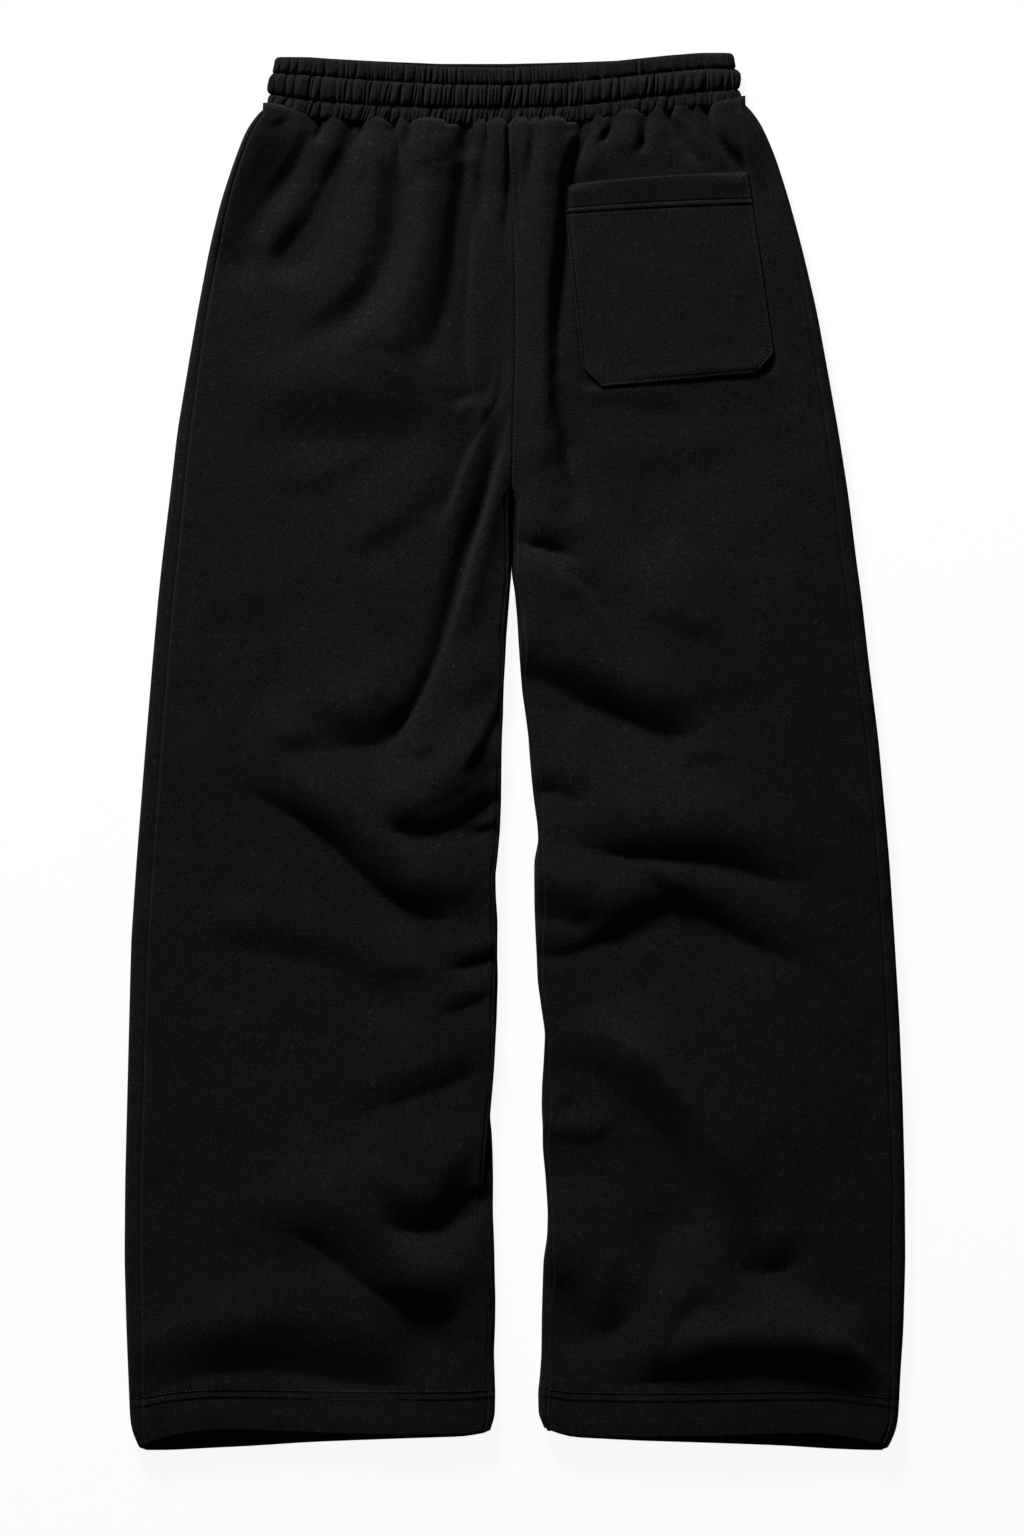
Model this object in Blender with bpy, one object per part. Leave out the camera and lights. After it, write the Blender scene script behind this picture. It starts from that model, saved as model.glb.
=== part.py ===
"""Wide-leg sweatpants with an elastic waistband, laid flat on their front.

The garment is two back panels, two front panels, a ring of waistband and one patch pocket. Each
piece is a wall of cloth with an outside and an inside. The side seams and inseams lie on the
upper side, so a front panel starts at its side seam, rolls round the leg's outer edge, lies flat
underneath and comes up round the inner edge to the inseam.

Frame: +X towards the wearer's right, +Y towards the waist, +Z up, origin under the middle of the
garment. The tables and the sizes are millimetres, and the meshes are made in metres.
"""

from collections import namedtuple
from math import ceil, cos, pi, radians, sin

import bmesh
import bpy
import numpy as np

MM = 0.001

# Cloth
CLOTH = 2.2              # one layer of brushed fleece
HEM_CLOTH = 4.2          # the turned hem, two layers
SEAM_GAP = 0.3           # between pieces that are sewn together
LAYER_GAP = 0.6          # least air between the back and the front
COLOUR = (0.0090, 0.0090, 0.0095, 1.0)
ROUGHNESS = 0.9

# Length of the garment, from the waist's edge to the hem
OUTSEAM = 1040.0
BOTTOM = -OUTSEAM / 2

# Heights of the rows that the panels' sections are set at
WAIST_ROW = 480.0
CROTCH_ROW = 192.0
TUBE_ROW = 190.5         # first row of the two separate legs
HEM_ROW = -482.0         # upper stitching of the hem
WAIST_BLEND = 400.0      # rows above this bend towards the waist seam
HEM_BLEND = -425.0       # rows below this bend towards the hem
HEM_BEND = 1.4           # how late that bend comes

# The legs' edges and fullness
EDGE_HEIGHT = 7.4        # height of the roll at a leg's edge
EDGE_ROLL = 4.5          # how far the roll reaches in
LEAST_ROLL = 3.4
HEM_RISE = 2.6           # extra height where the hem stands open
HEM_RISE_LENGTH = 16.0
CROWN = 2.8              # height that a panel gains away from its edges
CROWN_REACH = 30.0
PUFF = 3.2               # fullness under the waistband
PUFF_DROP = 20.0         # distance from the seam to the fullest place
PUFF_LENGTH = 24.0
CREST_OFFSET = 1.7       # a crest's distance from its fold, in widths of the bank

# Waistband
BAND_FRONT = 4.2         # thickness of the front, which lies flat
BAND_BACK = 5.2          # height of the back's inside
BAND_ROLL = 6.0
LEAST_ARC = 0.4
GATHERS = 50
GATHER_DEPTH = 1.15
GATHER_DRIFT = 0.20      # unevenness of the gathers' spacing, in gathers
GATHER_SWELL = 0.25      # unevenness of their depth

# Pocket
POCKET_CENTRE = (113.0, 356.0)
POCKET_TILT = 5.3        # degrees, its right side up
POCKET_HALF = (75.0, 87.0)
POCKET_FADE = 12.0       # distance in which the folds die out beside the pocket
POCKET_BAND = 1.6        # extra layers in the pocket's hem
POCKET_PUFF = 1.2

Section = namedtuple("Section", "y outer side_seam inseam inner")
BandEdge = namedtuple("BandEdge", "x back_top front_top back_seam")
HemLift = namedtuple("HemLift", "x front back")
Fold = namedtuple("Fold", "name depth steep gentle crest head peak tail route")
Channel = namedtuple("Channel", "across lift gather")
PocketRow = namedtuple("PocketRow", "left right band puff")
Leg = namedtuple("Leg", "name side sections folds")

# A leg's edges and seams at each row. Above the crotch, inseam and inner are the centre seam.
LEFT_SECTIONS = (
    Section(WAIST_ROW, -187.0, -183.0, -5.0, -5.0),
    Section(474.0, -194.0, -189.5, -5.0, -5.0),
    Section(463.0, -200.5, -196.0, -4.6, -4.6),
    Section(441.0, -209.0, -204.5, -3.5, -3.5),
    Section(411.0, -219.0, -213.5, -2.0, -2.0),
    Section(374.0, -228.0, -221.0, -0.5, -0.5),
    Section(329.0, -236.5, -229.5, 0.5, 0.5),
    Section(285.0, -244.0, -236.0, 0.0, 0.0),
    Section(240.0, -251.5, -242.0, -1.5, -1.5),
    Section(CROTCH_ROW, -257.0, -247.0, -3.0, -3.0),
    Section(TUBE_ROW, -257.2, -247.2, -8.5, -3.0),
    Section(143.0, -263.0, -251.5, -7.5, -3.0),
    Section(114.0, -266.0, -255.0, -9.5, -4.5),
    Section(69.0, -270.0, -258.5, -12.0, -7.5),
    Section(9.0, -275.0, -263.5, -13.5, -9.5),
    Section(-80.0, -282.0, -270.0, -16.5, -12.5),
    Section(-140.0, -286.0, -273.5, -17.5, -13.5),
    Section(-199.0, -287.5, -275.5, -18.0, -14.0),
    Section(-259.0, -289.0, -277.0, -22.0, -18.0),
    Section(-318.0, -290.5, -279.0, -25.5, -16.5),
    Section(-378.0, -291.0, -279.0, -23.5, -15.5),
    Section(-430.0, -289.5, -278.0, -20.0, -15.0),
    Section(-468.0, -288.0, -278.0, -20.0, -15.0),
    Section(HEM_ROW, -287.5, -278.0, -20.5, -15.0),
    Section(-506.0, -286.5, -278.5, -20.5, -15.5),
    Section(BOTTOM, -279.5, -272.0, -24.0, -18.5),
)
RIGHT_SECTIONS = (
    Section(WAIST_ROW, 171.0, 167.0, -5.0, -5.0),
    Section(474.0, 178.0, 173.5, -5.0, -5.0),
    Section(463.0, 184.5, 180.0, -4.6, -4.6),
    Section(441.0, 194.5, 190.0, -3.5, -3.5),
    Section(411.0, 204.5, 200.0, -2.0, -2.0),
    Section(374.0, 214.5, 209.5, -0.5, -0.5),
    Section(329.0, 225.0, 218.0, 0.5, 0.5),
    Section(285.0, 233.0, 225.0, 0.0, 0.0),
    Section(240.0, 241.0, 232.0, -1.5, -1.5),
    Section(CROTCH_ROW, 248.5, 238.5, -3.0, -3.0),
    Section(TUBE_ROW, 248.7, 238.7, 2.5, -3.0),
    Section(143.0, 254.5, 244.0, 2.0, -2.5),
    Section(114.0, 258.5, 248.0, 5.0, 0.5),
    Section(69.0, 263.5, 254.0, 8.0, 3.0),
    Section(9.0, 271.0, 262.0, 14.0, 9.0),
    Section(-80.0, 279.0, 270.0, 21.0, 13.5),
    Section(-140.0, 283.0, 274.0, 19.5, 15.0),
    Section(-199.0, 286.5, 277.0, 24.5, 20.0),
    Section(-259.0, 289.0, 279.0, 25.0, 19.5),
    Section(-318.0, 290.5, 281.5, 26.5, 21.5),
    Section(-378.0, 291.0, 281.0, 27.5, 22.5),
    Section(-430.0, 289.5, 280.5, 25.0, 18.5),
    Section(-468.0, 287.0, 280.0, 23.8, 17.2),
    Section(HEM_ROW, 286.5, 280.0, 23.5, 17.0),
    Section(-506.0, 285.0, 279.0, 23.5, 17.5),
    Section(BOTTOM, 277.5, 272.0, 27.5, 22.0),
)

# The waistband's edges across the garment: the back dips and shows the front's inside.
BAND_EDGES = (
    BandEdge(-187.0, 516.0, 516.5, 480.5),
    BandEdge(-153.0, 515.8, 517.4, 472.5),
    BandEdge(-107.0, 512.2, 514.8, 469.2),
    BandEdge(-55.0, 508.5, 512.6, 467.5),
    BandEdge(-5.0, 507.6, 512.6, 468.0),
    BandEdge(45.0, 510.4, 513.8, 469.0),
    BandEdge(77.0, 513.2, 515.0, 474.0),
    BandEdge(115.0, 517.2, 517.6, 478.0),
    BandEdge(138.0, 519.0, OUTSEAM / 2, 480.5),
    BandEdge(158.0, 519.0, OUTSEAM / 2, 482.0),
    BandEdge(171.0, 518.0, 518.0, 484.0),
)
SEAM_EASE = 11.0         # the waist seam has no corners: it is averaged over this much each way
FRONT_SEAM_DIP = 9.0     # the front's waist seam sags in the middle, under the back

# How far the hem lies above the lowest line: the back arches open near each outer side.
HEM_LIFTS = (
    HemLift(-280.0, 0.0, 2.5),
    HemLift(-257.0, 0.0, 10.5),
    HemLift(-230.0, 1.5, 15.0),
    HemLift(-198.0, 3.0, 15.2),
    HemLift(-153.0, 6.0, 13.0),
    HemLift(-94.0, 8.3, 11.2),
    HemLift(-35.0, 10.2, 12.0),
    HemLift(-18.0, 14.0, 15.5),
    HemLift(20.0, 17.0, 17.5),
    HemLift(40.0, 9.7, 11.0),
    HemLift(93.0, 7.0, 9.5),
    HemLift(151.0, 5.2, 10.5),
    HemLift(200.0, 3.4, 12.3),
    HemLift(236.0, 1.0, 12.0),
    HemLift(264.0, 0.0, 6.0),
    HemLift(280.0, 0.0, 2.5),
)

# Folds and pleats: a route, a trough with a steep and a gentle bank, and a crest on each side.
# The steep bank lies left of the route. Head, peak and tail set the depth along the route.
LEFT_FOLDS = (
    Fold("side_pleat", 4.4, 9, 10, 0.45, 1.0, 0.15, 0.0,
         ((-153, 476), (-169, 440), (-193, 408), (-200, 388))),
    Fold("short_pleat", 2.4, 8, 7, 0.45, 1.0, 0.05, 0.0, ((-140, 476), (-143, 460), (-146, 446))),
    Fold("yoke_pleat", 3.6, 9, 9, 0.45, 1.0, 0.10, 0.0,
         ((-122, 474), (-134, 440), (-147, 408), (-152, 385))),
    Fold("flat_pleat", 2.8, 8, 8, 0.40, 1.0, 0.20, 0.0, ((-94, 474), (-90, 430), (-89, 395))),
    Fold("deep_pleat", 4.6, 9, 8, 0.50, 1.0, 0.15, 0.0, ((-48, 474), (-42, 433), (-46, 388), (-55, 325))),
    Fold("drape_pleat", 3.4, 9, 8, 0.50, 0.6, 0.25, 0.4, ((-27, 474), (-29, 410), (-31, 340), (-29, 262))),
    Fold("crotch_drape", 4.4, 13, 16, 0.60, 0.0, 0.30, 0.0,
         ((-17, 224), (-34, 176), (-55, 122), (-82, 45), (-104, 24))),
    Fold("knee_shelf", 2.0, 18, 24, 0.40, 0.0, 0.50, 0.0, ((-167, 2), (-149, 16), (-120, 30), (-95, 30))),
    Fold("knee_slant", 5.6, 15, 26, 0.75, 0.0, 0.72, 0.0,
         ((-216, -10), (-180, -32), (-144, -56), (-100, -95), (-50, -122))),
    Fold("knee_hook", 4.8, 14, 18, 0.65, 0.0, 0.45, 0.3,
         ((-115, -48), (-82, -60), (-61, -61), (-38, -51), (-14, -32))),
    Fold("calf_slant", 2.8, 18, 26, 0.55, 0.0, 0.55, 0.0,
         ((-210, -128), (-165, -144), (-128, -162), (-78, -188))),
    Fold("calf_short", 2.0, 11, 14, 0.50, 0.0, 0.75, 0.4, ((-46, -158), (-28, -154), (-14, -150))),
    Fold("calf_nick", 1.8, 12, 15, 0.50, 0.0, 0.60, 0.3, ((-64, -248), (-42, -237), (-20, -236))),
    Fold("shin_hook", 4.0, 13, 18, 0.60, 0.0, 0.50, 0.3,
         ((-112, -345), (-83, -355), (-58, -355), (-26, -328))),
    Fold("shin_sweep", 5.6, 15, 26, 0.75, 0.0, 0.62, 0.0,
         ((-224, -350), (-176, -358), (-128, -374), (-83, -408), (-34, -414))),
    Fold("ankle_arch", 5.0, 17, 14, 0.65, 0.0, 0.40, 0.0,
         ((-272, -472), (-226, -456), (-180, -450), (-138, -454), (-80, -470))),
)
RIGHT_FOLDS = (
    Fold("centre_pleat", 2.4, 8, 7, 0.45, 1.0, 0.10, 0.0, ((12, 474), (9, 450), (4, 425))),
    Fold("seat_groove", 5.0, 8, 9, 0.45, 0.0, 0.75, 1.0,
         ((44, 177), (31, 241), (26, 290), (28, 351), (32, 410), (43, 440), (42, 474))),
    Fold("pocket_pleat", 3.2, 8, 8, 0.45, 1.0, 0.10, 0.0, ((56, 476), (50, 449), (42, 428))),
    Fold("mid_pleat", 2.8, 8, 8, 0.45, 1.0, 0.10, 0.0, ((93, 478), (94, 462), (96, 446))),
    Fold("slant_pleat", 2.8, 8, 9, 0.45, 1.0, 0.10, 0.0, ((110, 480), (118, 462), (130, 452))),
    Fold("side_pleat", 3.4, 9, 10, 0.45, 1.0, 0.20, 0.1, ((140, 482), (149, 462), (158, 449), (172, 434))),
    Fold("crotch_nick", 2.8, 11, 14, 0.50, 0.4, 0.40, 0.0, ((10, 152), (32, 144), (52, 143))),
    Fold("thigh_slant", 4.6, 16, 24, 0.60, 0.2, 0.60, 0.0,
         ((5, 50), (25, 54), (51, 45), (98, 21), (145, 28))),
    Fold("knee_sweep", 5.2, 16, 26, 0.70, 0.0, 0.35, 0.0,
         ((44, -54), (72, -69), (120, -78), (170, -82), (242, -90))),
    Fold("knee_peak", 5.6, 15, 26, 0.70, 0.6, 0.20, 0.0,
         ((20, -155), (44, -157), (85, -129), (116, -116), (150, -129), (194, -150), (244, -178))),
    Fold("calf_drape", 3.4, 28, 34, 0.40, 0.0, 0.45, 0.0,
         ((30, -192), (88, -232), (135, -277), (162, -332), (200, -388))),
    Fold("calf_nick", 2.2, 13, 16, 0.50, 0.4, 0.40, 0.0, ((23, -297), (45, -295), (69, -287), (90, -278))),
    Fold("shin_soft", 2.6, 18, 22, 0.40, 0.3, 0.40, 0.0, ((26, -416), (53, -422), (74, -426))),
    Fold("ankle_arch", 5.4, 17, 13, 0.65, 0.0, 0.50, 0.0,
         ((74, -470), (117, -464), (183, -459), (240, -466), (284, -477))),
)

# Section of the waistband's back, from its lower seam to its top edge: three elastic channels.
CHANNELS = (
    Channel(0.00, 3.2, 0.30),
    Channel(0.15, 5.4, 1.00),
    Channel(0.29, 3.4, 0.40),
    Channel(0.42, 6.4, 1.00),
    Channel(0.60, 6.4, 1.00),
    Channel(0.73, 3.4, 0.40),
    Channel(0.87, 5.2, 0.90),
    Channel(0.985, 3.4, 0.35),
    Channel(1.00, 0.0, 0.00),
    Channel(0.00, 0.0, 0.00),
)
BAND_LEFT = ((0.0, -186.0), (0.3, -184.8), (0.6, -184.6), (1.0, -180.0))
BAND_RIGHT = ((0.0, 170.0), (0.3, 168.4), (0.6, 168.0), (1.0, 164.0))

# Both ends of the pocket's rows, from its mouth down to the bottom between the cut corners.
POCKET_ROWS = (
    PocketRow((37.0, 422.5), (173.5, 432.0), 1.0, 0.0),
    PocketRow((37.0, 413.0), (174.8, 421.0), 1.0, 0.1),
    PocketRow((37.0, 403.5), (176.6, 410.0), 0.9, 0.2),
    PocketRow((37.6, 399.0), (177.8, 405.0), 0.0, 0.4),
    PocketRow((40.8, 372.0), (181.6, 378.0), 0.0, 1.0),
    PocketRow((45.2, 334.0), (187.0, 342.0), 0.0, 1.0),
    PocketRow((50.5, 286.0), (193.0, 297.0), 0.0, 0.4),
    PocketRow((57.5, 278.5), (187.0, 289.5), 0.0, 0.2),
    PocketRow((65.0, 272.0), (180.0, 282.5), 0.0, 0.0),
)
POCKET_COLUMNS = 10

LEFT = Leg("left", -1, LEFT_SECTIONS, LEFT_FOLDS)
RIGHT = Leg("right", 1, RIGHT_SECTIONS, RIGHT_FOLDS)

# Steps of the panels' grids. A back panel has the sections' rows and more between them.
BACK_ROW_STEP = 24.5
BACK_COLUMNS = 21
UNDER_COLUMNS = 6
ROLL_STEPS = 4


def smooth(share):
    """Ease from 0 to 1."""
    share = np.clip(share, 0.0, 1.0)
    return share * share * (3.0 - 2.0 * share)


def read(table, field, at, key="y"):
    """A table's field at one or more places, straight between its rows."""
    rows = sorted(table, key=lambda row: getattr(row, key))
    places = [getattr(row, key) for row in rows]
    return np.interp(at, places, [getattr(row, field) for row in rows])


def beside_route(route, x, y):
    """Each point's distance from a route, positive on its left, and its share along the route."""
    points = np.array(route, dtype=float)
    steps = np.diff(points, axis=0)
    lengths = np.hypot(steps[:, 0], steps[:, 1])
    starts = np.concatenate([[0.0], np.cumsum(lengths)[:-1]])
    nearest = np.full(np.shape(x), np.inf)
    offset = np.zeros(np.shape(x))
    share = np.zeros(np.shape(x))
    for point, step, length, start in zip(points, steps, lengths, starts):
        away_x, away_y = x - point[0], y - point[1]
        reach = np.clip((away_x * step[0] + away_y * step[1]) / length ** 2, 0.0, 1.0)
        distance = np.hypot(away_x - reach * step[0], away_y - reach * step[1])
        left = np.sign(step[0] * away_y - step[1] * away_x)
        closer = distance < nearest
        nearest = np.where(closer, distance, nearest)
        offset = np.where(closer, left * distance, offset)
        share = np.where(closer, (start + reach * length) / lengths.sum(), share)
    return offset, share


def relief(folds, x, y):
    """Height that the folds add to a panel."""
    height = np.zeros(np.shape(x))
    for fold in folds:
        offset, share = beside_route(fold.route, x, y)
        rising = fold.head + (1.0 - fold.head) * smooth(share / fold.peak)
        falling = fold.tail + (1.0 - fold.tail) * smooth((1.0 - share) / (1.0 - fold.peak))
        bank = np.where(offset > 0.0, fold.steep, fold.gentle)
        trough = np.exp(-(offset / bank) ** 2)
        crest = np.exp(-(np.abs(offset) / bank - CREST_OFFSET) ** 2)
        height += fold.depth * rising * falling * (fold.crest * crest - trough)
    return height


def pocket_cover(x, y):
    """1 under the pocket, where the panel lies smooth, falling to 0 beside it."""
    away_x, away_y = x - POCKET_CENTRE[0], y - POCKET_CENTRE[1]
    tilt = radians(POCKET_TILT)
    across = np.abs(away_x * cos(tilt) + away_y * sin(tilt)) - POCKET_HALF[0]
    down = np.abs(away_y * cos(tilt) - away_x * sin(tilt)) - POCKET_HALF[1]
    return smooth(1.0 - across / POCKET_FADE) * smooth(1.0 - down / POCKET_FADE)


def thickness(row):
    """The wall's thickness: two layers in the hem."""
    return np.where(row <= HEM_ROW, HEM_CLOTH, CLOTH)


def eased_seam(x):
    """The back's waist seam, averaged over its neighbourhood."""
    places = [x + SEAM_EASE * step for step in (-1.0, -0.5, 0.0, 0.5, 1.0)]
    return sum(read(BAND_EDGES, "back_seam", place, "x") for place in places) / len(places)


def waist_seam(x, back):
    """The waistband's lower edge. back is 1 on the back, 0 on the front underneath."""
    first, last = BAND_EDGES[0].x, BAND_EDGES[-1].x
    share = np.clip((x - first) / (last - first), 0.0, 1.0)
    level = eased_seam(first) + (eased_seam(last) - eased_seam(first)) * share
    front = level - FRONT_SEAM_DIP * 4.0 * share * (1.0 - share)
    return front + (eased_seam(x) - front) * back


def laid_y(x, row, back):
    """Where a row lies, bent to the waist seam and the hem. back is 1 on the back, 0 below."""
    hem_back = read(HEM_LIFTS, "back", x, "x")
    hem_front = read(HEM_LIFTS, "front", x, "x")
    seam = waist_seam(x, back) - WAIST_ROW - SEAM_GAP
    hem = hem_front + (hem_back - hem_front) * back
    upper = smooth((row - WAIST_BLEND) / (WAIST_ROW - WAIST_BLEND))
    lower = np.clip((HEM_BLEND - row) / (HEM_BLEND - BOTTOM), 0.0, 1.0) ** HEM_BEND
    return row + seam * upper + hem * lower


def smooth_top(leg, x, row):
    """Height of the upper side without folds."""
    to_outer = leg.side * (read(leg.sections, "outer", row) - x)
    to_inner = np.maximum(leg.side * (x - read(leg.sections, "inner", row)), 0.0)
    to_inner = np.hypot(to_inner, np.maximum(row - CROTCH_ROW, 0.0))
    inside = np.maximum(np.minimum(to_outer, to_inner), 0.0)
    edge = EDGE_HEIGHT + HEM_RISE * smooth((HEM_ROW + HEM_RISE_LENGTH - row) / HEM_RISE_LENGTH)
    return edge + CROWN * (1.0 - np.exp(-inside / CROWN_REACH))


def top(leg, x, row, y):
    """Height of the upper side of a leg and its half of the seat."""
    seam = waist_seam(x, 1.0)
    puff = PUFF * np.exp(-((seam - PUFF_DROP - y) / PUFF_LENGTH) ** 2)
    open_cloth = 1.0 - pocket_cover(x, y) if leg.side > 0 else 1.0
    height = smooth_top(leg, x, row) + (puff + relief(leg.folds, x, y)) * open_cloth
    return np.maximum(height, 2.0 * thickness(row) + LAYER_GAP)


def back_rows(sections):
    """The sections' rows, with even steps between them."""
    rows = [sections[0].y]
    for above, below in zip(sections, sections[1:]):
        steps = ceil((above.y - below.y) / BACK_ROW_STEP)
        rows += [above.y + (below.y - above.y) * (step + 1) / steps for step in range(steps)]
    return np.array(rows)


def back_panel_points(leg):
    """Outer and inner points of a back panel, between the side seam and the inseam."""
    rows = back_rows(leg.sections)[:, None]
    shares = np.linspace(0.0, 1.0, BACK_COLUMNS + 1)[None, :]
    half_gap = leg.side * SEAM_GAP / 2
    start = read(leg.sections, "side_seam", rows) - half_gap
    end = read(leg.sections, "inseam", rows) + half_gap
    x = start + (end - start) * shares
    row = rows + np.zeros_like(x)
    y = laid_y(x, row, 1.0)
    z = top(leg, x, row, y)
    slope_x = (top(leg, x + 1.0, row, y) - top(leg, x - 1.0, row, y)) / 2.0
    slope_y = (top(leg, x, row, y + 1.0) - top(leg, x, row, y - 1.0)) / 2.0
    square_rows = np.isin(rows[:, 0], (WAIST_ROW, CROTCH_ROW, TUBE_ROW, BOTTOM))
    slope_x[:, [0, -1]] = 0.0
    slope_y[square_rows, :] = 0.0
    normal = np.stack([-slope_x, -slope_y, np.ones_like(x)], axis=-1)
    normal /= np.linalg.norm(normal, axis=-1, keepdims=True)
    outer = np.stack([x, y, z], axis=-1)
    return outer, outer - normal * thickness(row)[..., None]


def roll_points(edge, side, width, height, row, turn):
    """An outer and an inner point of the roll at a leg's edge, turn going from the top to the bottom."""
    wall = float(thickness(row))
    inner_width = max(width - wall, LEAST_ARC)
    inner_half = max(height / 2 - wall, LAYER_GAP / 2)
    across, up = sin(turn), cos(turn)
    outer_x = edge - side * width * (1.0 - across)
    y = float(laid_y(outer_x, row, (1.0 + up) / 2))
    outer = (outer_x, y, height / 2 * (1.0 + up))
    inner_x = edge - side * (wall + inner_width * (1.0 - across))
    return outer, (inner_x, y, height / 2 + inner_half * up)


def front_panel_points(leg):
    """Outer and inner points of a front panel, from the side seam round underneath to the inseam."""
    outer, inner = [], []
    half_gap = leg.side * SEAM_GAP / 2
    turns = [pi * step / ROLL_STEPS for step in range(ROLL_STEPS + 1)]
    for section in leg.sections:
        row = section.y
        wall = float(thickness(row))
        inner_edge = section.inner + half_gap
        strip_out = abs(section.outer - section.side_seam) - SEAM_GAP
        strip_in = abs(section.inseam - section.inner) - 2 * SEAM_GAP
        roll_out = float(np.clip(strip_out, LEAST_ROLL, EDGE_ROLL))
        roll_in = float(np.clip(strip_in, LEAST_ROLL, EDGE_ROLL))
        line = []
        seam_x = section.side_seam + half_gap
        seam_y = float(laid_y(seam_x, row, 1.0))
        seam_z = float(top(leg, seam_x, row, seam_y))
        line.append(((seam_x, seam_y, seam_z), (seam_x, seam_y, seam_z - wall)))
        centre = section.outer - leg.side * roll_out
        height = float(top(leg, centre, row, laid_y(centre, row, 1.0)))
        line += [roll_points(section.outer, leg.side, roll_out, height, row, turn) for turn in turns]
        joined = row >= CROTCH_ROW
        under_end = inner_edge if joined else inner_edge + leg.side * roll_in
        for step in range(1, UNDER_COLUMNS + 1):
            x = centre + (under_end - centre) * step / UNDER_COLUMNS
            y = float(laid_y(x, row, 0.0))
            line.append(((x, y, 0.0), (x, y, wall)))
        height = float(top(leg, inner_edge + leg.side * roll_in, row, laid_y(inner_edge, row, 1.0)))
        line += [roll_points(inner_edge, -leg.side, roll_in, height, row, turn) for turn in turns[-2::-1]]
        seam_x = section.inseam - half_gap
        seam_y = float(laid_y(seam_x, row, 1.0))
        seam_z = float(top(leg, seam_x, row, seam_y))
        line.append(((seam_x, seam_y, seam_z), (seam_x, seam_y, seam_z - wall)))
        outer.append([pair[0] for pair in line])
        inner.append([pair[1] for pair in line])
    return np.array(outer), np.array(inner)


def front_panel_cells(leg, shape):
    """The cells of a front panel that are cloth: the inner roll starts at the crotch."""
    cells = np.ones((shape[0] - 1, shape[1] - 1), dtype=bool)
    joined_rows = sum(1 for section in leg.sections if section.y >= CROTCH_ROW)
    cells[:joined_rows, shape[1] - 1 - (ROLL_STEPS + 1):] = False
    return cells


def waistband_loops():
    """Closed sections of the waistband, one for each step round the ring."""
    across = np.array([channel.across for channel in CHANNELS])
    lift = np.array([channel.lift for channel in CHANNELS])
    gather = np.array([channel.gather for channel in CHANNELS])
    outside = np.arange(len(CHANNELS)) < len(CHANNELS) - 2
    left = np.interp(across, *zip(*BAND_LEFT))
    right = np.interp(across, *zip(*BAND_RIGHT))
    loops = []

    def section_y(x, back):
        tops = [read(BAND_EDGES, field, x, "x") for field in ("front_top", "back_top")]
        upper = tops[0] + (tops[1] - tops[0]) * back
        lower = waist_seam(x, back)
        return lower + (upper - lower) * across

    def fold(edge, side, turn):
        up, out = cos(turn), sin(turn)
        height = BAND_BACK + lift
        gap_half = (BAND_BACK - BAND_FRONT) / 2
        outer_x = edge - side * BAND_ROLL * (1.0 - out)
        inner_x = edge - side * (BAND_FRONT + (BAND_ROLL - BAND_FRONT) * (1.0 - out))
        x = np.where(outside, outer_x, inner_x)
        z = np.where(outside, height / 2 * (1.0 + up), BAND_FRONT + gap_half * (1.0 + up))
        loops.append(np.stack([x, section_y(x, (1.0 + up) / 2), z], axis=-1))

    turns = [pi * step / (ROLL_STEPS + 1) for step in range(1, ROLL_STEPS + 1)]
    back_steps = 4 * GATHERS
    for step in range(back_steps + 1):
        gathers = step / 4
        drift = GATHER_DRIFT * (sin(0.9 * gathers) + sin(2.3 * gathers))
        inside = 0 < step < back_steps
        share = np.clip((gathers + drift * inside) / GATHERS, 0.0, 1.0)
        x = left + BAND_ROLL + (right - left - 2 * BAND_ROLL) * share
        depth = GATHER_DEPTH * (1.0 + GATHER_SWELL * sin(1.7 * gathers + 0.5)) * sin(pi * step / 2)
        z = BAND_BACK + lift + gather * depth * inside
        loops.append(np.stack([x, section_y(x, 1.0), z], axis=-1))
    for turn in turns:
        fold(right, 1, turn)
    under_steps = 12
    for step in range(under_steps + 1):
        x = right - BAND_ROLL + (left - right + 2 * BAND_ROLL) * step / under_steps
        z = np.where(outside, 0.0, BAND_FRONT)
        loops.append(np.stack([x, section_y(x, 0.0), z], axis=-1))
    for turn in reversed(turns):
        fold(left, -1, turn)
    return np.array(loops)


def pocket_points():
    """Outer and inner points of the pocket, which lies on the right back panel."""
    outer, inner = [], []
    for row in POCKET_ROWS:
        for column in range(POCKET_COLUMNS + 1):
            share = column / POCKET_COLUMNS
            x = row.left[0] + (row.right[0] - row.left[0]) * share
            y = row.left[1] + (row.right[1] - row.left[1]) * share
            base = float(smooth_top(RIGHT, x, y)) + SEAM_GAP
            puff = POCKET_PUFF * row.puff * sin(pi * share)
            inner.append((x, y, base + puff * 0.5))
            outer.append((x, y, base + CLOTH + puff + POCKET_BAND * row.band))
    shape = (len(POCKET_ROWS), POCKET_COLUMNS + 1, 3)
    return np.array(outer).reshape(shape), np.array(inner).reshape(shape)


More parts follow.
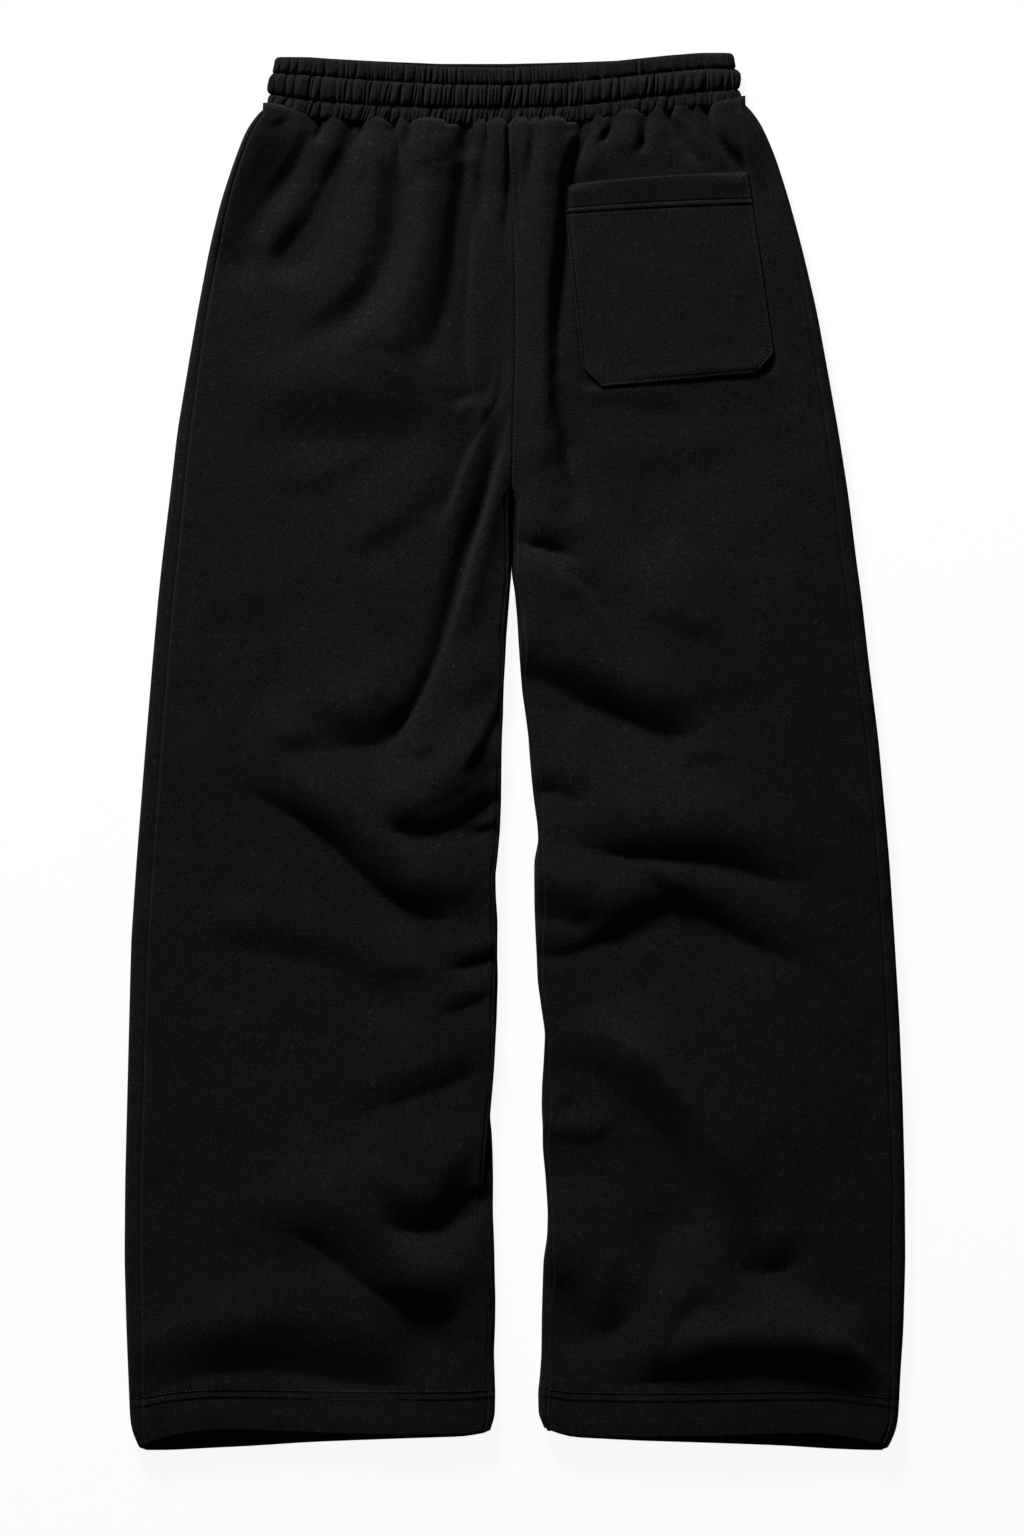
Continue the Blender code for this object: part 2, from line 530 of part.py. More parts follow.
def wall_faces(shape, cells):
    """Faces of a wall: both skins where there is cloth, and a rim along every free edge."""
    rows, columns = shape
    index = np.arange(rows * columns).reshape(rows, columns)
    other = rows * columns
    padded = np.pad(cells, 1)
    faces = []
    for r in range(rows - 1):
        for c in range(columns - 1):
            if not cells[r, c]:
                continue
            around = (index[r, c], index[r, c + 1], index[r + 1, c + 1], index[r + 1, c])
            corners = [int(corner) for corner in around]
            faces.append(corners)
            faces.append([corner + other for corner in reversed(corners)])
            neighbours = (padded[r, c + 1], padded[r + 1, c + 2], padded[r + 2, c + 1], padded[r + 1, c])
            for side, neighbour in enumerate(neighbours):
                if not neighbour:
                    start, end = corners[side], corners[(side + 1) % 4]
                    faces.append([end, start, start + other, end + other])
    return faces


def ring_faces(steps, points):
    """Faces of a closed ring of closed sections."""
    faces = []
    for step in range(steps):
        following = (step + 1) % steps
        for point in range(points):
            beside = (point + 1) % points
            faces.append([step * points + point, following * points + point,
                          following * points + beside, step * points + beside])
    return faces


def fleece(name):
    """The piece's own black fleece."""
    material = bpy.data.materials.new(name + "_fleece")
    material.use_nodes = True
    shader = material.node_tree.nodes["Principled BSDF"]
    shader.inputs["Base Color"].default_value = COLOUR
    shader.inputs["Roughness"].default_value = ROUGHNESS
    shader.inputs["Metallic"].default_value = 0.0
    return material


def add_piece(name, points, faces, collection):
    """One closed piece of cloth from its points in millimetres."""
    mesh = bpy.data.meshes.new(name)
    mesh.from_pydata([tuple(point) for point in points * MM], [], faces)
    body = bmesh.new()
    body.from_mesh(mesh)
    bmesh.ops.delete(body, geom=[vertex for vertex in body.verts if not vertex.link_faces], context="VERTS")
    if body.calc_volume(signed=True) < 0.0:
        bmesh.ops.reverse_faces(body, faces=body.faces)
    body.to_mesh(mesh)
    body.free()
    mesh.shade_smooth()
    mesh.set_sharp_from_angle(angle=radians(50.0))
    mesh.materials.append(fleece(name))
    collection.objects.link(bpy.data.objects.new(name, mesh))


def add_wall(name, outer, inner, cells, collection):
    """A piece whose outer and inner skins are grids of the same shape."""
    points = np.concatenate([outer.reshape(-1, 3), inner.reshape(-1, 3)])
    add_piece(name, points, wall_faces(outer.shape[:2], cells), collection)


def build():
    for item in list(bpy.data.objects):
        bpy.data.objects.remove(item, do_unlink=True)
    collection = bpy.data.collections.new("sweatpants")
    bpy.context.scene.collection.children.link(collection)

    for leg in (LEFT, RIGHT):
        outer, inner = back_panel_points(leg)
        cells = np.ones((outer.shape[0] - 1, outer.shape[1] - 1), dtype=bool)
        add_wall("back_panel_" + leg.name, outer, inner, cells, collection)
        outer, inner = front_panel_points(leg)
        add_wall("front_panel_" + leg.name, outer, inner, front_panel_cells(leg, outer.shape), collection)

    loops = waistband_loops()
    add_piece("waistband", loops.reshape(-1, 3), ring_faces(loops.shape[0], loops.shape[1]), collection)

    outer, inner = pocket_points()
    cells = np.ones((outer.shape[0] - 1, outer.shape[1] - 1), dtype=bool)
    add_wall("back_pocket", outer, inner, cells, collection)


build()
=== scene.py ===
"""The looks of the wide-leg sweatpants, laid flat on their front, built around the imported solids.

Every piece of cloth is a wall whose outside is a fine grid. Its places come from the same sections
as the solids, and its height from tables of folds and pleats. Lengths in the tables are
millimetres. Frame: +X towards the wearer's right, +Y towards the waist, +Z up.
"""

from collections import namedtuple
from math import cos, pi, radians, sin

import bpy
import numpy as np
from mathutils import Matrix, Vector


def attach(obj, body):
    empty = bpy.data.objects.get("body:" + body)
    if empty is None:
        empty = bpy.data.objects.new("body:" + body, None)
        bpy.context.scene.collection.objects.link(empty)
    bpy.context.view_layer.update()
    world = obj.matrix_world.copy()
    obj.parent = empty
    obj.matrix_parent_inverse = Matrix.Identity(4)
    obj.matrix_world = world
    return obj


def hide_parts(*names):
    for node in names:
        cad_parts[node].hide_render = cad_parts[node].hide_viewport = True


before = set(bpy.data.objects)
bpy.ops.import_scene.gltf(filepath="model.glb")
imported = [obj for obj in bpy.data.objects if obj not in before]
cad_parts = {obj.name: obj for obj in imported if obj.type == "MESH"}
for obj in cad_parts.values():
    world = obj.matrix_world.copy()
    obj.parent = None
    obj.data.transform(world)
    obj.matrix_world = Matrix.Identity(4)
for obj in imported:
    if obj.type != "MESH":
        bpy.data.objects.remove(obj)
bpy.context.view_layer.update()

MM = 0.001

# Cloth
CLOTH = 2.2
HEM_CLOTH = 3.4
LAYER_GAP = 0.6
SEAM_GAP = 0.3
SEAM_DIP = 0.5

# Rows that the sections are set at
WAIST_ROW = 480.0
CREST_ROW = 474.5        # the panels curl under from here up to the waist seam
CROTCH_ROW = 192.0
FORK_ROW = 199.0         # the back panels' inner edges part here
BOTTOM = -520.0
WAIST_BLEND = 400.0
HEM_BLEND = -425.0
HEM_BEND = 1.4
HEM_STITCHES = (-482.0, -488.6)
HEM_STEP = 0.7
HEM_SWELLS = (6.6, 20.0)    # how far the cloth swells beyond each row of stitches
HEM_STEP_ROW = -479.0    # the hem's second layer starts here

# Heights
EDGE_HEIGHT = 7.4
HEM_RISE = 0.3
HEM_RISE_LENGTH = 16.0
CROWN = 2.8
CROWN_REACH = 30.0
PUFF = 3.0
PUFF_DROP = 13.0
PUFF_LENGTH = 26.0
POCKET_PRESS = 2.8

# How far the tables' corners are eased each way, and how far they are read past their ends
EDGE_EASE = 14.0
INNER_EASE = 5.0
LIE_EASE = 6.0
HEM_EASE = 10.0
SEAM_EASE = 11.0
BAND_EASE = 6.0
PAST_ENDS = 60.0

# Gathers and the waist seam
NOTCH = 1.6
NOTCH_LENGTH = 15.0
FRONT_SEAM_DIP = 9.0
CURL_STEPS = 9
CURL_BEND = 0.55         # below 1 the curl is squarer than an ellipse
CURL_LOW = 4.6           # height of the cloth that runs under the band to the seam

# Panels' grids and the rolled edges of the fronts
EDGE_STEPS = (0.0, 0.4, 0.8, 1.3, 2.0, 2.9, 4.2)
BACK_COLUMNS = 104
STRIP_COLUMNS, ROLL_COLUMNS, UNDER_COLUMNS = 6, 15, 34
# The panels' heights over their seams' allowances, and how far these slope off
SIDE_RIDGES = {"left": (1.0, 13.0), "right": (0.35, 6.0)}
INSEAM_RIDGE = (0.5, 1.6)
FRONT_RIDGE = (0.25, 4.0)
LEAST_ROLL, MOST_ROLL = 3.2, 6.5
ROLL_SHARE = 0.72        # a roll's half width, as a share of the strip beside the seam
LEAST_INNER_HEIGHT = 3.4

Section = namedtuple("Section", "y outer side_seam")
SeatSeam = namedtuple("SeatSeam", "y x")
Inner = namedtuple("Inner", "y inseam inner lie")
BandEdge = namedtuple("BandEdge", "x back_top front_top back_seam")
HemLift = namedtuple("HemLift", "x front back")
Lobe = namedtuple("Lobe", "start end")
PocketRow = namedtuple("PocketRow", "down left_x left_y right_x right_y")
Fold = namedtuple("Fold", "name depth width crest tails along soft route")
Leg = namedtuple("Leg", "name side sections inner folds")


def table(kind, text):
    """Rows of one kind, from their numbers in the order of its fields."""
    numbers, size = [float(word) for word in text.split()], len(kind._fields)
    return [kind(*numbers[start:start + size]) for start in range(0, len(numbers), size)]


def fold_table(text):
    """Folds, each from its name, its ten numbers and the x and y of its route's points."""
    rows = []
    for word in text.split():
        if word[0].isalpha():
            rows.append([word])
        else:
            rows[-1].append(float(word))
    return [Fold(name, *numbers[:3], numbers[3:5], numbers[5:9], numbers[9],
                 np.reshape(numbers[10:], (-1, 2))) for name, *numbers in rows]


LEFT_SECTIONS = table(Section, """
    480 -187 -183   474 -194 -189.5   463 -200.5 -196   441 -209 -204.5
    411 -219 -213.5   374 -228 -221   329 -236.5 -229.5   285 -244 -236
    240 -251.5 -242   192 -257 -247   190.5 -257.2 -247.2   143 -263 -251.5
    114 -266 -255   69 -270 -258.5   9 -275 -263.5   -80 -282 -270
    -140 -286 -273.5   -199 -287.5 -275.5   -259 -289 -277   -318 -290.5 -279
    -378 -291 -279   -430 -289.5 -278   -468 -288 -278   -482 -287.5 -278
    -506 -286.5 -278.5   -520 -279.5 -272
""")
RIGHT_SECTIONS = table(Section, """
    480 171 167   474 178 173.5   463 184.5 180   441 194.5 190
    411 204.5 200   374 214.5 209.5   329 225 218   285 233 225
    240 241 232   192 248.5 238.5   190.5 248.7 238.7   143 254.5 244
    114 258.5 248   69 263.5 254   9 271 262   -80 279 270
    -140 283 274   -199 286.5 277   -259 289 279   -318 290.5 281.5
    -378 291 281   -430 289.5 280.5   -468 287 280   -482 286.5 280
    -506 285 279   -520 277.5 272
""")
SEAT_SEAM = table(SeatSeam, """
    480 -5   474 -5   463 -4.6   441 -3.5   411 -2   374 -0.5   329 0.5   285 0   240 -1.5   192 -3
""")
# lie is how high the strip between the inseam and the inner edge lies: 1 as high as the panel.
LEFT_INNER = table(Inner, """
    192 -7.6 -2.55 0.1   160 -7 -2.55 0.1   134 -6.8 -2.6 0.15   120 -7.8 -3.8 0.2
    98.6 -10.1 -5.4 0.35   85 -10.8 -6.5 0.4   72 -9.9 -7 0.5   54 -10.4 -8.1 0.6
    40 -11.4 -8.6 0.6   28 -12.6 -8.8 0.5   15 -12.3 -9.5 0.5   0 -12 -9.9 0.5
    -18 -12.8 -10.1 0.5   -35 -13.7 -10.2 0.6   -58 -14.6 -11.1 0.6   -80 -15.8 -13.1 0.55
    -91 -18.3 -14.5 0.45   -107 -17.6 -14.2 0.5   -125 -17.1 -12.9 0.5   -151 -15.8 -13.1 0.5
    -169 -17.1 -12.7 0.6   -199 -17.8 -13.6 0.65   -229 -17.9 -15.1 0.6   -239 -17.6 -15.7 0.6
    -250 -18.7 -16.6 0.5   -272 -22.1 -18.6 0.45   -282 -22.6 -17.3 0.5   -298 -24.6 -16.6 0.5
    -318 -25.6 -16.2 0.7   -342 -26.8 -16.4 0.9   -370 -26.6 -15.3 0.95   -390 -24 -15 0.9
    -406 -20.9 -14.5 0.8   -425 -19.8 -14.7 0.85   -450 -21.3 -15.6 0.85   -470 -21 -15 0.9
    -485 -20.5 -14.6 1   -506 -20.5 -15 1   -520 -24 -18.5 1
""")
RIGHT_INNER = table(Inner, """
    192 2.8 -2.65 0.3   160 1.2 -2.65 0.3   134 0.6 -2.6 0.3   120 2.4 -0.2 0.3
    98.6 5.5 1.7 0.35   85 7.8 2.4 0.5   72 7.8 3.3 0.6   58 6.6 4.3 0.7
    45 7.4 5.4 0.8   27 10.2 8 0.8   12 12.2 9.9 0.8   0 14.5 10.7 0.9
    -18 18 12.2 0.9   -35 20.3 14 0.85   -53 19.9 16.6 0.8   -66 19.9 17.4 0.8
    -80 20.6 14.3 0.85   -98 21.9 14.3 0.9   -116 21.9 14.5 0.9   -134 20.6 15.2 0.85
    -151 19.9 16.1 0.85   -170 20 16.8 0.8   -189 22.3 19.4 0.8   -209 24.9 22.4 0.8
    -229 24.3 21.4 0.8   -249 26.1 20.1 0.75   -264 26.8 19.8 0.75   -279 25.1 20.6 0.8
    -294 23.3 20.6 0.85   -317 25.6 22.8 0.8   -342 27.2 24.4 0.75   -360 27.5 24 0.7
    -378 28.7 21.2 0.7   -390 29.1 20.8 0.7   -404 27.2 20.4 0.75   -417 25.5 20 0.85
    -437 25.2 19.8 0.9   -453 24.4 19.6 0.9   -473 26 18.3 0.9   -485 24.2 17.2 1
    -506 23.5 17.5 1   -520 27.5 22 1
""")
BAND_EDGES = table(BandEdge, """
    -187 516 516.5 480.5   -153 515.8 517.4 472.5   -107 512.2 514.8 469.2   -55 508.5 512.6 467.5
    -5 507.6 512.6 468   45 510.4 513.8 469   77 513.2 515 474   115 517.2 517.6 478
    138 519 520 480.5   158 519 520 482   171 518 518 484
""")
HEM_LIFTS = table(HemLift, """
    -280 0 2.5   -257 0 10.5   -230 1.5 15   -198 3 15.2   -153 6 13   -94 8.3 11.2
    -35 10.2 12   -18 14 15.5   20 17 17.5   40 9.7 11   93 7 9.5   151 5.2 10.5
    200 3.4 12.3   236 1 12   264 0 6   280 0 2.5
""")
# The lobes between the gathers, where the cloth presses up against the band.
LOBES = table(Lobe, """
    -190 -152.5   -144 -124   -121 -95   -90 -79   -77 -51   -36.5 -21   -20 -6.5   -3 10   11.5 19
    20 38   50.5 65.5   68.5 93   96 114.5   115.5 131.5   133 144   146 190
""")
# Both ends of the pocket's rows, from its mouth to its bottom between the cut corners.
POCKET_ROWS = table(PocketRow, """
    0 37 422.5 173.5 432   20.5 37.4 402 176.8 409   136.5 50.5 286 193 297   151 65 272 180 282.5
""")

# Folds: name, depth, width, crest, two tails, four along, soft, then the route. depth is the drop from a
# fold's crest to its crease, and a negative one is a rise. width is how far the crest stands from the
# crease: on the left of the route where it is positive, else on the right. crest is the depth's share above
# the cloth's level, and tails are how slowly the cloth comes back to that level beyond the crest and beyond
# the crease. along has the depth's share at the head, the places where it is full and starts to fade, and
# its share at the tail. soft is 0 for a sharp crease and 1 for a round one.
LEFT_FOLDS = fold_table(
    # gathers under the band, from the side to the middle
    """
    side_nip 1.8 -7 0.3 8 6 1 0.2 0.4 0 0.2  -150 478  -160 474  -174 469  -188 460
    side_flank 11.5 -40 0.45 18 10 0.9 0.15 0.75 0 0.9  -147 478  -150 462  -155 449  -160 437  -169 422
        -180 404  -190 386  -200 362  -207 342
    side_pleat 3 -10 0.3 12 8 1 0.1 0.3 0 0.5  -149 476  -151 462  -156 450  -162 439  -170 426  -183 409
        -194 394  -203 374
    side_edge 4.5 -4 0.2 8 5 1 0.1 0.6 0 0.1  -143 474  -146 464  -150 452
    yoke_flank 9.4 -29 0.35 12 15 1 0.2 0.78 0 0.9  -115 478  -121 456  -127 440  -134 422  -142 403
        -153 384  -169 362  -184 346
    yoke_pleat 2.8 -9 0.3 11 8 1 0.1 0.25 0 0.5  -119 474  -125 456  -130 441  -137 426  -142 411
        -149 396  -158 381  -172 367
    yoke_edge 2.6 -5 0.2 6 4 1 0.1 0.2 0 0.1  -109 474  -114 464  -121 453  -127 441
    yoke_nip 1 -4 0.2 6 4 0.2 0.3 0.5 0 0.2  -110 434  -115 424  -121 413
    flat_flank 5.2 -21 0.5 12 10 0.6 0.3 0.5 0 0.6  -92 476  -88 456  -85 436  -81 414  -80 392
    flat_pleat 5 -7 0.2 7 4 1 0.1 0.6 0 0.15  -95 472  -91 462  -88 452  -87 440  -84 428
    flat_nip 3.6 -6 0.2 7 5 1 0.1 0.4 0 0.2  -79 472  -80 460  -82 447
    flat_hollow 2 -9 0.2 9 10 0 0.4 0.6 0 0.8  -68 445  -69 432  -71 418
    lobe_nip 1.6 -4 0.2 7 5 1 0.2 0.4 0 0.2  -62 471  -62 460  -65 448
    deep_wedge 7 -14 0.2 10 6 1 0.1 0.6 0 0.3  -36 476  -37 464  -38 452  -40 438
    deep_flank 7.6 -28 0.5 16 10 1 0.2 0.9 0.4 0.6  -36 452  -38 436  -41 412  -44 390  -46 366  -50 340
        -57 314  -68 288
    deep_pleat 3 -10 0.35 12 8 0.8 0.1 0.35 0 0.5  -37 446  -38 436  -40 422  -43 408  -45 390  -46 370
        -48 350  -52 332  -57 314  -64 294
    deep_drape 5.8 -30 0.5 16 4 0.4 0.3 0.85 0.3 0.6  -32 430  -33 390  -35 350  -35 310  -34 284  -30 262
    drape_wedge 5.5 -7 0.2 8 5 0.4 0.3 0.4 0 0.2  -27 436  -27 424  -26 410  -26 390
    centre_edge 1.8 -5 0.2 6 4 1 0.1 0.4 0 0.1  -20 474  -21 456  -24 438  -26 418
    centre_cut 4.4 -5 0.1 7 4 1 0.2 0.4 0 0.2  -4 470  -5 446  -6 416  -7 386  -7 350
    """
    # soft drapes from the gathers down across the hip
    """
    yoke_swell 5.4 -20 0.5 20 16 0.5 0.3 0.6 0 0.8  -84 430  -84 410  -90 388  -96 368  -102 352  -112 336
        -124 322  -138 308  -156 300
    hip_swoosh -4.4 -24 0.5 18 26 0.3 0.3 0.6 0 0.9  -55 440  -60 418  -64 396  -70 374  -76 354  -84 337
        -96 321  -112 305  -130 293  -152 283  -186 275
    side_swell 3 -16 0.5 14 14 0.2 0.3 0.6 0 0.8  -150 402  -158 386  -170 366  -182 346
    drape_line -2.2 -3 0.5 4 4 0.2 0.3 0.9 0.6 0.5  -28 404  -30 370  -33 340  -34 310  -33 282  -30 264
        -25 254
    bowl_line -2.4 3 0.5 4 4 0 0.5 0.9 0.6 0.5  -12 312  -12 292  -13 274  -17 260  -23 252
    bowl_spot -3.4 -9 0.5 6 7 0.2 0.4 0.6 0 0.8  -20 264  -29 261  -38 257  -47 250
    centre_fall 2.4 14 0.5 6 6 0 0.4 0.9 0.6 0.6  -14 350  -15 310  -15 270  -14 240  -12 210
    drape_bowl 2.6 -16 0.4 14 6 0 0.6 0.85 0.4 0.4  -14 312  -14 296  -16 280  -22 266  -31 258
    hip_sag 6.4 44 0.5 20 30 0 0.35 0.8 0.2 0.8  -205 228  -180 229  -155 232  -130 233  -105 232  -80 233
        -58 242
    """
    # below the crotch
    """
    crotch_drape 5.6 -15 0.2 30 4 0.2 0.3 0.9 0.2 0.05  -12 240  -16 222  -22 197  -30 172  -37 152
        -43 132  -48 112  -54 92  -60 72  -67 54  -75 38  -84 22  -95 8
    strip_rise 3.6 12 0.8 4 5 0 0.3 0.8 0 0.4  -14 236  -22 200  -32 160  -42 120  -52 84
    drape_ridge -5.2 -3 0.5 4 4 0.2 0.2 0.6 0 0.5  -5 240  -9 222  -14 204  -19 188  -24 170  -30 150
        -36 130  -42 110  -48 88  -56 66
    drape_rim -2.4 -3 0.5 4 4 0.2 0.3 0.6 0 0.5  -16 256  -22 242  -28 230  -35 218  -42 202  -48 186
        -55 168
    drape_flank -2.4 -7 0.5 12 9 0 0.3 0.6 0 0.5  -24 246  -32 222  -40 203  -46 183  -54 165  -60 150
    thigh_high 1.9 18 0.5 26 26 0 0.3 0.6 0 0.9  -192 186  -150 189  -115 201  -95 216  -72 231
    thigh_low 2.6 18 0.5 26 20 0 0.3 0.7 0 0.8  -130 136  -105 147  -90 157  -76 168  -62 181  -49 197
        -40 210
    thigh_inner 2.2 22 0.4 20 14 0 0.4 0.8 0.4 0.8  -48 28  -36 30  -24 36  -10 50
    thigh_side 1.2 24 0.5 30 30 0 0.4 0.6 0 1  -240 100  -215 92  -185 98  -150 104
    """
    # round the knee
    """
    knee_shelf 8.2 33 0.5 30 24 0 0.42 0.78 0 0.2  -152 0  -140 2  -120 3  -104 5  -93 12  -84 23  -77 36
    shelf_side 2.6 14 0.5 14 14 0 0.4 0.6 0 0.7  -180 -3  -158 1  -136 3
    shelf_light 3 -34 0.6 20 30 0 0.4 0.6 0 1  -208 48  -178 52  -146 54
    shelf_spot 1.8 9 0.5 8 8 0 0.4 0.6 0 0.5  -80 -5  -68 -4  -56 2
    knee_slant 11.9 27 0.7 32 60 0 0.45 0.76 0 0  -222 -9  -200 -28  -180 -38  -160 -49  -140 -65
        -120 -84  -110 -95  -100 -104  -90 -111  -80 -117  -70 -121  -60 -124  -48 -125  -32 -122
    knee_hook 9.8 24 0.75 26 22 0 0.35 0.8 0.5 0  -112 -53  -104 -56  -90 -59  -80 -60  -70 -61  -60 -60
        -50 -57  -40 -53  -30 -46  -20 -38  -8 -31
    knee_fall 5.2 24 0.6 16 14 0.1 0.5 0.9 0.6 0.6  -84 -48  -64 -44  -44 -34  -24 -20  -8 -8
    knee_rim 4.6 -8 0.2 20 18 0.6 0.3 0.7 0 0.4  -8 38  -12 28  -17 16  -23 3  -30 -10  -39 -24
    knee_nick 2.6 7 0.4 8 8 0 0.4 0.8 0.4 0.2  -40 -54  -30 -59  -20 -58  -10 -54
    calf_slant 4.4 28 0.5 34 40 0 0.3 0.7 0 0.7  -244 -136  -200 -148  -180 -152  -160 -157  -140 -163
        -120 -172  -105 -181  -88 -188  -62 -194
    calf_wing 2 14 0.5 16 16 0 0.4 0.7 0 0.7  -112 -176  -95 -171  -78 -169  -58 -170
    calf_short 4 13 0.4 14 12 0 0.5 0.9 0.6 0.1  -56 -163  -40 -159  -28 -156  -12 -153
    calf_crease 3 13 0.4 16 14 0 0.5 0.8 0.3 0.2  -64 -198  -46 -193  -32 -187  -15 -181
    rim_soft 2.4 30 0.5 20 24 0 0.5 0.9 0.6 0.8  -52 -132  -38 -128  -26 -126  -14 -122
    """
    # shin and hem
    """
    shin_crease 4.5 24 0.4 34 50 0 0.55 0.85 0.2 0.2  -150 -276  -120 -270  -100 -265  -80 -259  -60 -252
        -45 -245  -32 -239  -18 -234
    shin_rise -4.5 -60 0.5 30 30 0 0.3 0.7 0.2 1  -246 -344  -210 -336  -170 -330  -130 -320  -100 -308
        -70 -296  -40 -280  -20 -268
    shin_hook 9 32 0.45 22 16 0 0.3 0.75 0.5 0.1  -110 -349  -90 -354  -80 -356  -70 -358  -60 -357
        -50 -350  -40 -339  -32 -333  -20 -327
    shin_rim 1.9 -18 0.4 20 14 0 0.5 0.8 0.2 0.6  -30 -282  -33 -300  -37 -318  -42 -334  -50 -348
    rim_nick 2.6 6 0.4 8 8 0 0.4 0.9 0.6 0.1  -44 -337  -35 -332  -26 -328  -16 -324
    shin_sweep 12 34 0.72 30 90 0 0.6 0.72 0 0  -212 -350  -185 -354  -160 -362  -148 -368  -139 -375
        -130 -383  -120 -391  -110 -398  -100 -404  -90 -410  -80 -415  -70 -419  -60 -422  -50 -423
        -40 -421  -26 -414
    shin_fall 4.8 42 0.5 30 30 0 0.3 0.8 0.4 1  -220 -430  -180 -436  -140 -440  -100 -442  -60 -438
        -30 -430
    ankle_arch 9.4 38 0.8 30 14 0.3 0.35 0.82 0 0.45  -281 -480  -262 -474  -250 -470  -235 -465
        -220 -462  -200 -460  -180 -460  -160 -461  -145 -464  -130 -468  -110 -471  -90 -473  -66 -472
    """)
